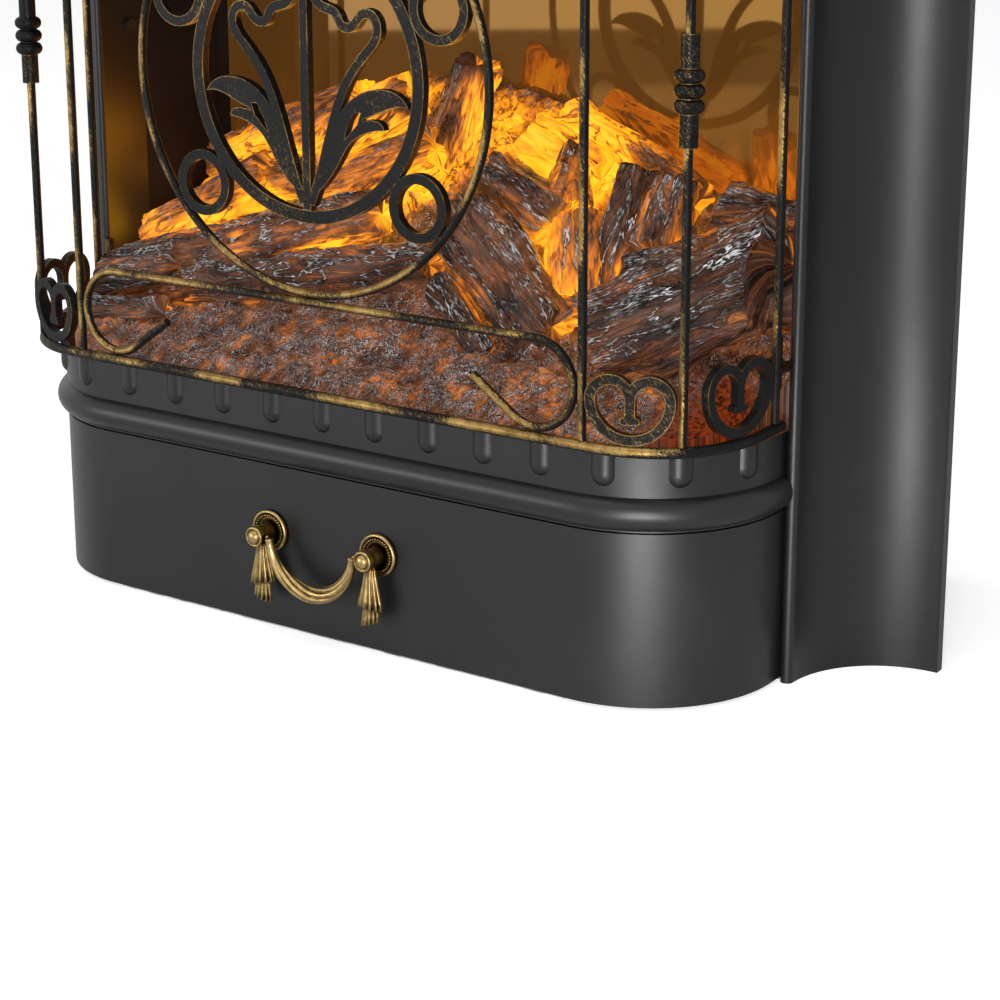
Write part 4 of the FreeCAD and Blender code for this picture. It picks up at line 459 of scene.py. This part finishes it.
BED_HALF = 195.5
BED_FRONT, BED_REAR = -123.0, 36.0
CORNER_X, CORNER_Y, CORNER_RADIUS = 135.2, -63.0, 60.0
BED_FOOT, BED_LIP = 101.0, 117.0
HANGER_X, HANGER_Y = 184.5, -42.5
# The bed's height at the screen from left to right, and how it rises from front to rear
SKYLINE = ((-196, 182), (-160, 192), (-126, 208), (-97, 228), (-73, 240), (-34, 244), (6, 241), (47, 229),
           (61, 221), (79, 209), (95, 201), (107, 196), (122, 194), (160, 187), (196, 178))
SLOPE = ((0.0, 0.0), (0.08, 0.06), (0.3, 0.17), (0.5, 0.38), (0.65, 0.6), (0.85, 0.88), (1.0, 1.0))
# Each lamp under the bed: its place, how far it reaches, and its strength
GLOWS = (
    (29, 0, 219, 20, 1.0), (-2, 0, 240, 10, 1.0), (-13, 0, 207, 12, 1.0),
    (-30, -10, 196, 12, 0.9), (46, -30, 182, 8, 1.0), (62, -15, 197, 10, 1.0),
    (68, -35, 182, 12, 0.9), (82, -42, 173, 10, 0.9), (113, -25, 200, 8, 1.0),
    (115, -30, 187, 7, 1.0), (158, -35, 197, 10, 1.0), (155, -42, 185, 7, 0.9),
    (147, -50, 174, 9, 1.0), (33, -55, 166, 9, 1.0), (49, -58, 158, 9, 1.0),
    (88, -58, 160, 8, 0.9), (98, -64, 153, 7, 0.7), (89, -25, 191, 8, 0.8),
    (133, -38, 185, 7, 0.9), (2, 10, 228, 12, 1.0), (64, 8, 213, 10, 0.9),
    (27, 25, 242, 12, 0.8), (1, 25, 242, 10, 0.8), (64, -5, 204, 12, 1.0),
    (106, -45, 172, 7, 0.8), (123, -48, 172, 6, 0.8), (47, 20, 230, 12, 0.7),
    (69, 18, 223, 10, 0.8), (-39, 20, 245, 8, 0.8), (-175, -35, 166, 13, 1.0),
    (-105, -50, 165, 9, 0.9), (-86, -48, 171, 10, 1.0), (-64, -46, 177, 11, 1.0),
    (-45, -44, 182, 10, 1.0), (-29, -42, 188, 10, 1.0), (-119, -20, 189, 10, 0.9),
    (-155, -20, 191, 8, 0.7), (-150, 0, 201, 12, 0.8), (-126, 5, 209, 12, 0.8),
    (-67, -10, 196, 14, 1.0), (-61, 10, 217, 14, 0.9), (-61, 15, 230, 14, 1.0),
    (-78, 20, 236, 12, 0.9), (-57, 22, 246, 10, 0.9), (-47, -58, 168, 6, 0.9),
    (-26, -58, 171, 6, 0.9), (-8, -58, 173, 7, 1.0), (-130, -55, 150, 7, 0.8),
    (-137, -66, 136, 7, 0.8), (-88, -70, 139, 6, 0.6), (-185, -72, 134, 6, 0.6),
    (-21, -20, 198, 12, 1.0), (6, -50, 174, 8, 1.0), (-91, -5, 203, 12, 0.8),
    (-97, -15, 195, 10, 0.9), (-138, -46, 168, 11, 0.9), (-112, -42, 178, 10, 0.9),
    (-150, -60, 152, 7, 0.7), (-60, -62, 163, 7, 0.8),
)
# Each log: its two ends, the radius at each end, and how much of it is left unpainted
LOGS = (
    ((-181, -38, 158), (-112, -26, 198), 13, 12, 0.7),
    ((-182, -55, 145), (-25, -48, 188), 14, 11, 0.15),
    ((-132, -62, 143), (16, -64, 171), 12, 10, 0.1),
    ((-180, -66, 131), (-124, -62, 146), 9, 11, 0.1),
    ((28, -46, 196), (88, -68, 150), 12, 12, 0.1),
    ((16, -50, 181), (74, -70, 146), 9, 8, 0.05),
    ((20, -64, 162), (54, -76, 136), 7, 6, 0.0),
    ((93, -50, 160), (78, -30, 192), 15, 14, 0.75),
    ((100, -44, 166), (106, -24, 220), 10, 9, 0.15),
    ((122, -38, 184), (121, -18, 214), 13, 10, 0.2),
    ((112, -66, 146), (192, -36, 188), 24, 25, 0.1),
    ((140, -10, 190), (190, -2, 188), 20, 18, 0.15),
    ((-22, 4, 206), (-7, 8, 257), 13, 11, 0.12),
    ((24, -26, 210), (64, -32, 190), 12, 12, 0.2),
    ((64, -20, 196), (60, -8, 225), 13, 4, 0.45),
    ((118, -52, 176), (140, -46, 184), 8, 7, 0.0),
    ((88, -58, 158), (122, -54, 166), 8, 7, 0.1),
    ((-176, 8, 190), (-78, 14, 230), 15, 14, 0.6),
    ((-100, -4, 204), (-46, 10, 238), 14, 13, 0.7),
    ((36, 24, 230), (112, 16, 196), 12, 12, 0.6),
    ((-70, -24, 190), (-16, -14, 216), 13, 12, 0.7),
    ((-150, -14, 186), (-84, -20, 198), 11, 12, 0.6),
    ((28, 6, 222), (68, 4, 206), 14, 13, 0.8),
    ((-190, -68, 141), (-140, -64, 152), 15, 13, 0.1),
    ((-188, -84, 124), (-138, -84, 130), 11, 9, 0.05),
)


def between(points, at):
    """The value at a place on a line through points, eased between them."""
    for (start, low), (end, high) in zip(points, points[1:]):
        if at <= end:
            share = max(0.0, (at - start) / (end - start))
            return low + (high - low) * share * share * (3 - 2 * share)
    return points[-1][1]


def bed_front(across):
    """How far forward the bed reaches: straight, with rounded corners."""
    past = abs(across) - CORNER_X
    if past <= 0:
        return BED_FRONT
    return CORNER_Y - math.sqrt(max(0.0, CORNER_RADIUS ** 2 - past ** 2))


def keep_clear(point):
    """Holds a point inside the bay and off the grille's hangers."""
    x, y, z = point
    limit = HANGER_X if y < HANGER_Y and z > BED_LIP else BED_HALF
    x = max(-limit, min(limit, x))
    y = max(bed_front(x), min(BED_REAR, y))
    return Vector((x, y, z))


def lit_at(point):
    """How brightly the lamps show through at a point."""
    total = 0.0
    for x, y, z, reach, strength in GLOWS:
        gap = (point - Vector((x, y, z))).length_squared / (1.25 * reach) ** 2
        if gap < 5:
            total += strength * math.exp(-gap)
    return min(1.0, total)


def rugged(point, size, seed=0):
    return noise.noise(point / size + Vector((seed * 7.3, seed * 3.1, seed * 5.7)))


def bed_layers(bm):
    for label in ("glow", "ash_and_glints", "red"):
        bm.verts.layers.float.new(label)
    bm.verts.layers.float_vector.new("grain")
    marks = bm.verts.layers.float
    return marks["glow"], marks["ash_and_glints"], marks["red"], bm.verts.layers.float_vector["grain"]


def ember_bed(bm, layers):
    """The bed of embers, from the front lip up to the ridge at the screen."""
    glow, ash_and_glints, red, grain_place = layers
    made = bmesh.ops.create_grid(bm, x_segments=330, y_segments=150, size=1)["verts"]
    for vert in made:
        x = vert.co.x * BED_HALF
        share = (vert.co.y + 1) / 2
        front = bed_front(x)
        y = front + (BED_REAR - front) * share
        depth = (y - BED_FRONT) / (BED_REAR - BED_FRONT)
        z = BED_LIP + (between(SKYLINE, x) - BED_LIP) * between(SLOPE, depth)
        side = max(0.0, (abs(x) - 165) / 31)
        z -= (z - BED_LIP) * 0.75 * side ** 3 * (1 if y < HANGER_Y else 0.3)
        spot = Vector((x, y, z))
        lump = 5.0 * rugged(spot, 26) + 3.0 * rugged(spot, 11, 1)
        wrinkle = 1 - 2.2 * abs(rugged(Vector((x * 1.25, y * 0.75, z * 0.6)), 7.5, 2))
        crackle = rugged(spot, 3.2, 3)
        inner = min(1.0, share * 9)
        z += (lump * (0.35 + 0.65 * depth) + 2.2 * wrinkle + 1.0 * crackle) * inner
        vert.co = keep_clear(Vector((x, y, z)))
        lit = lit_at(vert.co)
        vert[glow] = max(0.86 * lit, 0.43 + 0.1 * lump / 5 - 0.08 * wrinkle - 0.08 * min(1, depth * 2))
        # Ash on the wrinkle crests and crackle, which also stands in for glints on them: a painted highlight.
        # Less of it where the glow is.
        vert[ash_and_glints] = max(0.0, min(0.75, 0.56 + 0.24 * wrinkle + 0.22 * crackle - 0.4 * lit))
        vert[grain_place] = Vector((x, 0.7 * y, 0.7 * z))
        if x > 150 and y < -52:
            vert[red] = min(1.0, (x - 150) / 25) * min(1.0, (-52 - y) / 8)
    rim = [edge for edge in bm.edges if edge.is_boundary]
    skirt = bmesh.ops.extrude_edge_only(bm, edges=rim)["geom"]
    for vert in skirt:
        if isinstance(vert, bmesh.types.BMVert):
            vert.co.z = BED_FOOT
    bmesh.ops.holes_fill(bm, edges=[edge for edge in bm.edges if edge.is_boundary], sides=0)


def cast_log(bm, layers, log, seed):
    """One log: rings pulled along a line, closed with broken ends, split and grained along its length."""
    glow, ash_and_glints, _, grain_place = layers
    start, end, radius, end_radius, bare = log
    start, end = Vector(start), Vector(end)
    length = (end - start).length
    around = max(48, int(4.2 * max(radius, end_radius)))
    steps = max(16, int(length / 1.3))
    shares = [(0.0, 0.05), (0.0, 0.45), (0.0, 0.8), (0.006, 0.95)]
    shares += [(step / steps, 1.0) for step in range(1, steps)]
    shares += [(0.994, 0.95), (1.0, 0.8), (1.0, 0.45), (1.0, 0.05)]
    rings = tube(bm, around, len(shares))
    turn = (end - start).to_track_quat("Z", "Y").to_matrix().to_4x4()
    place = Matrix.Translation(start) @ turn
    drift = Vector((seed * 4.7, seed * 2.9, seed * 6.1))
    for ring, (along, narrow) in zip(rings, shares):
        wide = radius + (end_radius - radius) * along
        for vert in ring:
            out = Vector((vert.co.x, vert.co.y, 0)).normalized()
            run = along * length
            shape = noise.noise(out * 0.9 + Vector((0, 0, run / 34)) + drift)
            split = noise.noise(out * 2.6 + Vector((0, 0, run / 60)) - drift)
            grain = noise.noise(out * 7.5 + Vector((0, 0, run / 26)) + drift * 2)
            fibre = noise.noise(out * 17 + Vector((0, 0, run / 16)) - drift * 2)
            chip = noise.noise(out * 3.2 + Vector((0, 0, run / 7)) + drift * 3)
            ridge = 1 - 2.4 * abs(grain)
            depth = wide * narrow * (1 + 0.22 * shape + 0.2 * split)
            depth += (1.3 * ridge + 0.7 * fibre + 0.9 * chip) * min(1.0, 1.2 * narrow)
            at_end = abs(along - 0.5) > 0.49
            broken = noise.noise(out * 2.2 * narrow + drift * 5) * 5 * (1 - 2 * along) * at_end
            local = out * max(0.2, depth) + Vector((0, 0, run + broken))
            vert.co = keep_clear(place @ local)
            lit = lit_at(vert.co)
            facing = turn @ out
            seam = max(0.0, -0.6 - ridge) + max(0.0, -1.6 * split - 0.25)
            behind = max(0.0, min(1.0, 2.2 * facing.y - 0.3))
            vert[glow] = min(0.95, lit * (0.5 + 0.5 * bare - 0.2 * facing.z) + 0.4 * bare + 0.6 * seam * lit
                             + 0.35 * behind - 0.14 * ridge + 0.24)
            # Ash on ridges, chips and upward faces, which also stands in for glints there: a painted
            # highlight.
            vert[ash_and_glints] = max(0.0, 0.3 + 0.25 * ridge + 0.3 * facing.z + 0.25 * chip - 0.3 * bare
                            - 0.25 * lit - behind)
            vert[grain_place] = Vector((out.x * wide, out.y * wide, 0.24 * run)) + drift * 20


def build_log_bed():
    embers = bmesh.new()
    ember_bed(embers, bed_layers(embers))
    logs = bmesh.new()
    layers = bed_layers(logs)
    for seed, log in enumerate(LOGS, 1):
        cast_log(logs, layers, log, seed)
    bmesh.ops.recalc_face_normals(logs, faces=logs.faces)
    bmesh.ops.recalc_face_normals(embers, faces=embers.faces)
    for name, bm, replaced in (("ember_bed", embers, ("log_bed",)), ("cast_logs", logs, ())):
        bmesh.ops.scale(bm, vec=(MM, MM, MM), verts=bm.verts)
        add_piece(name, bm, "log_resin", "case", *replaced)


# Drawer handle. Lengths in this section are in millimetres until a mesh is finished.

POST_X, HANDLE_Z = 32.0, 48.5
PANEL_Y, PIVOT_Y = -128.0, -138.5
# Turned outlines: distance from the axis, and distance in front of the panel
ROSETTE = ((0.0, 0.2), (10.3, 0.0), (10.3, 0.9), (10.1, 1.7), (9.7, 2.2), (9.3, 2.35), (8.8, 2.1),
           (8.4, 1.2), (6.9, 1.1), (6.7, 1.2), (6.0, 1.1), (5.2, 1.0), (4.6, 1.0), (0.0, 1.0))
POST = ((0.0, 1.6), (4.6, 1.8), (4.3, 2.6), (4.1, 4.0), (4.1, 8.4), (4.4, 8.9), (4.9, 9.3), (4.9, 12.6),
        (4.75, 13.2), (4.3, 13.5), (3.8, 13.3), (3.55, 12.9), (3.3, 13.2), (2.7, 14.1), (1.7, 14.75),
        (0.7, 15.0), (0.0, 15.0))
RAYS_FROM, RAYS_TO, RAY_RISE = 4.9, 6.9, 0.4
BEADS, BEADS_OUT, BEADS_AHEAD, BEAD_RADIUS = 34, 7.55, 1.65, 0.62
TASSEL_AHEAD = 6.8
BAIL_HALF, BAIL_DROP = 24.6, 22.8
BAIL_THIN, BAIL_THICK = 1.75, 4.1
PIN_RADIUS, PIN_LENGTH = 1.15, 2.0
# Each tassel ring: distance below the post's axis, half width, half depth
UPPER_TIER = ((2.5, 2.3, 2.2), (6, 2.9, 2.4), (11, 3.6, 2.6), (16, 4.5, 2.9), (20, 5.3, 3.2),
              (23.5, 5.9, 3.4), (23.6, 4.4, 2.4))
LOWER_TIER = ((20, 3.4, 2.3), (24, 3.8, 2.5), (28, 4.1, 2.6), (31.5, 4.3, 2.7), (31.6, 3.2, 1.9))


def spun(bm, outline, steps):
    """A turned form about an axis that points to the front, from an outline of (out, ahead) points."""
    verts = [bm.verts.new((out, -ahead, 0)) for out, ahead in outline]
    edges = [bm.edges.new(ends) for ends in zip(verts, verts[1:])]
    bmesh.ops.spin(bm, geom=verts + edges, cent=(0, 0, 0), axis=(0, 1, 0), angle=TURN, steps=steps,
                   use_merge=True)
    bmesh.ops.remove_doubles(bm, verts=bm.verts, dist=0.01)


def rosettes():
    """Two rosettes with a raised rim, a ring of beads and a finely rayed face."""
    bm = bmesh.new()
    steps = 96
    spun(bm, ROSETTE, steps)
    for vert in bm.verts:
        out = math.hypot(vert.co.x, vert.co.z)
        if RAYS_FROM < out < RAYS_TO:
            ray = round(math.atan2(vert.co.z, vert.co.x) / TURN * steps)
            vert.co.y -= RAY_RISE * (ray % 2)
    for step in range(BEADS):
        angle = step / BEADS * TURN
        at = Matrix.Translation((BEADS_OUT * math.cos(angle), -BEADS_AHEAD, BEADS_OUT * math.sin(angle)))
        bmesh.ops.create_uvsphere(bm, u_segments=8, v_segments=6, radius=BEAD_RADIUS, matrix=at)
    return bm


def pleated_tier(bm, rings, slant, seed):
    """A tier of a tassel: a flat pleated skirt with a slanting lower edge."""
    around = 90
    pleats = 11
    made = tube(bm, around, len(rings))
    lowest = rings[-1][0]
    for ring, (down, wide, deep) in zip(made, rings):
        share = (down - rings[0][0]) / (lowest - rings[0][0])
        for vert in ring:
            angle = math.atan2(vert.co.y, vert.co.x)
            wave = math.cos(pleats * angle + seed)
            fold = 1 + (0.03 + 0.15 * share) * (abs(wave) ** 0.7 * (1 if wave > 0 else -1))
            x, y = math.cos(angle) * wide * fold, math.sin(angle) * deep * fold
            vert.co = Vector((x, y - 0.6 * share, -down - slant * share * x))


def posts_and_tassels():
    """Two posts with a domed button in a raised rim, and the tassel that hangs under each."""
    bm = bmesh.new()
    spun(bm, POST, 48)
    tassel = bmesh.new()
    pleated_tier(tassel, UPPER_TIER, 0.16, 0.4)
    pleated_tier(tassel, LOWER_TIER, -0.34, 1.9)
    bmesh.ops.translate(tassel, vec=(0, -TASSEL_AHEAD, 0), verts=tassel.verts)
    spare = bpy.data.meshes.new("tassel")
    tassel.to_mesh(spare)
    tassel.free()
    bm.from_mesh(spare)
    bpy.data.meshes.remove(spare)
    return bm


def swag_bail():
    """The hanging bail: thin smooth ends with a small flare, swelling to a twisted swag."""
    bm = bmesh.new()
    around, steps = 56, 84
    arc = (BAIL_HALF ** 2 + BAIL_DROP ** 2) / (2 * BAIL_DROP)
    reach = math.asin(BAIL_HALF / arc)
    rings = tube(bm, around, steps + 1)
    for step, ring in enumerate(rings):
        share = 2 * step / steps - 1
        bend = share * reach
        thick = BAIL_THIN + (BAIL_THICK - BAIL_THIN) * math.cos(share * math.pi / 2) ** 1.3
        thick += 0.55 * max(0.0, (abs(share) - 0.94) / 0.06)
        groove = 0.34 * max(0.0, min(1.0, 1.45 - 1.7 * abs(share)))
        centre = Vector((arc * math.sin(bend), 0, arc - BAIL_DROP - arc * math.cos(bend)))
        outward = Vector((math.sin(bend), 0, -math.cos(bend)))
        for vert in ring:
            angle = math.atan2(vert.co.y, vert.co.x)
            wave = abs(math.sin(3.5 * (angle + 1.5 * share + 0.25 * math.sin(3 * share))))
            wide = thick * (1 - groove * (1 - wave) ** 1.6)
            vert.co = centre + outward * (wide * math.cos(angle)) + Vector((0, -wide * math.sin(angle), 0))
    for side in (-1, 1):
        at = Matrix.Translation((side * (BAIL_HALF + 1.2), 0, 0.2)) @ Matrix.Rotation(TURN / 4, 4, "Y")
        bmesh.ops.create_cone(bm, cap_ends=True, segments=24, radius1=PIN_RADIUS, radius2=PIN_RADIUS,
                              depth=PIN_LENGTH, matrix=at)
    return bm


def build_handle():
    for name, make, node, body, centre in (
        ("handle_rosette_pair", rosettes, "handle_rosettes", "drawer", PANEL_Y),
        ("handle_post_pair", posts_and_tassels, "handle_posts", "drawer", PANEL_Y),
        ("handle_swag_bail", swag_bail, "handle_bail", "bail", PIVOT_Y),
    ):
        bm = make()
        if body == "drawer":
            bmesh.ops.translate(bm, vec=(POST_X, 0, 0), verts=bm.verts)
            bmesh.ops.mirror(bm, geom=bm.verts[:] + bm.edges[:] + bm.faces[:], axis="X", merge_dist=0.0)
        bmesh.ops.translate(bm, vec=(0, centre, HANDLE_Z), verts=bm.verts)
        bmesh.ops.recalc_face_normals(bm, faces=bm.faces)
        bmesh.ops.scale(bm, vec=(MM, MM, MM), verts=bm.verts)
        add_piece(name, bm, "antique_brass", body, node)


# Studio

SKY_LIGHT = 0.3
FLOOR_LIFT, GLOSS_LIFT = 0.6, 0.2
CAMERA_AT = (0.6525, -0.9329, 0.3939)
CAMERA_HEADING, CAMERA_TILT, CAMERA_ROLL = 34.498, 74.984, -0.087


def build_studio():
    """A pale floor, a white background, soft lamps and the camera."""
    bm = bmesh.new()
    bmesh.ops.create_grid(bm, x_segments=1, y_segments=1, size=6)
    mesh = bpy.data.meshes.new("floor")
    bm.to_mesh(mesh)
    bm.free()
    floor = bpy.data.objects.new("floor", mesh)
    bpy.context.collection.objects.link(floor)
    pale, graph, shader = new_material("pale_floor", Roughness=0.9)
    shader.inputs["Base Color"].default_value = (0.85, 0.85, 0.85, 1)
    shader.inputs["Emission Color"].default_value = (1, 1, 1, 1)
    direct, glossy = graph.background_rays()
    direct = graph.math("MULTIPLY", direct, FLOOR_LIFT)
    lift = graph.math("ADD", direct, graph.math("MULTIPLY", glossy, GLOSS_LIFT))
    graph.feed(shader.inputs["Emission Strength"], lift)
    mesh.materials.append(pale)

    world = bpy.data.worlds.new("studio")
    bpy.context.scene.world = world
    world.use_nodes = True
    graph = Graph(world.node_tree)
    sky = world.node_tree.nodes["Background"]
    sky.inputs["Color"].default_value = (1, 1, 1, 1)
    shown = graph.math("MAXIMUM", *graph.background_rays())
    strength = graph.math("ADD", SKY_LIGHT, graph.math("MULTIPLY", shown, 1 - SKY_LIGHT))
    graph.feed(sky.inputs["Strength"], strength)

    # Each lamp: its place, what it points at, its width and height, its beam in degrees, and its power
    lamps = (
        ("key_strip", (0.85, -1.5, 0.27), (0.1, -0.1, 0.1), (0.25, 0.5), 180, 15),
        ("low_strip", (0.31, -0.37, 0.03), (0.19, -0.09, 0.02), (0.15, 0.06), 60, 0.15),
        ("left_softbox", (-1.05, -1.5, 0.32), (0.0, -0.1, 0.1), (0.9, 0.5), 180, 9),
        ("top_softbox", (0.0, -0.5, 2.3), (0.0, -0.1, 0.3), (1.6, 1.6), 180, 20),
    )
    for name, at, aim, (width, height), beam, power in lamps:
        data = bpy.data.lights.new(name, "AREA")
        data.shape = "RECTANGLE"
        data.size, data.size_y = width, height
        data.spread = math.radians(beam)
        data.energy = power
        lamp = bpy.data.objects.new(name, data)
        lamp.location = at
        lamp.rotation_euler = (Vector(aim) - Vector(at)).to_track_quat("-Z", "Y").to_euler()
        bpy.context.collection.objects.link(lamp)

    data = bpy.data.cameras.new("camera")
    data.sensor_width = 36
    data.lens = 84.03
    data.shift_y = -0.10
    camera = bpy.data.objects.new("camera", data)
    heading = Matrix.Rotation(math.radians(CAMERA_HEADING), 4, "Z")
    tilt = Matrix.Rotation(math.radians(CAMERA_TILT), 4, "X")
    roll = Matrix.Rotation(math.radians(CAMERA_ROLL), 4, "Z")
    camera.matrix_world = Matrix.Translation(CAMERA_AT) @ heading @ tilt @ roll
    bpy.context.collection.objects.link(camera)
    bpy.context.scene.camera = camera
    bpy.context.scene.view_settings.view_transform = "Standard"


dress_nodes()
build_log_bed()
build_handle()
build_studio()
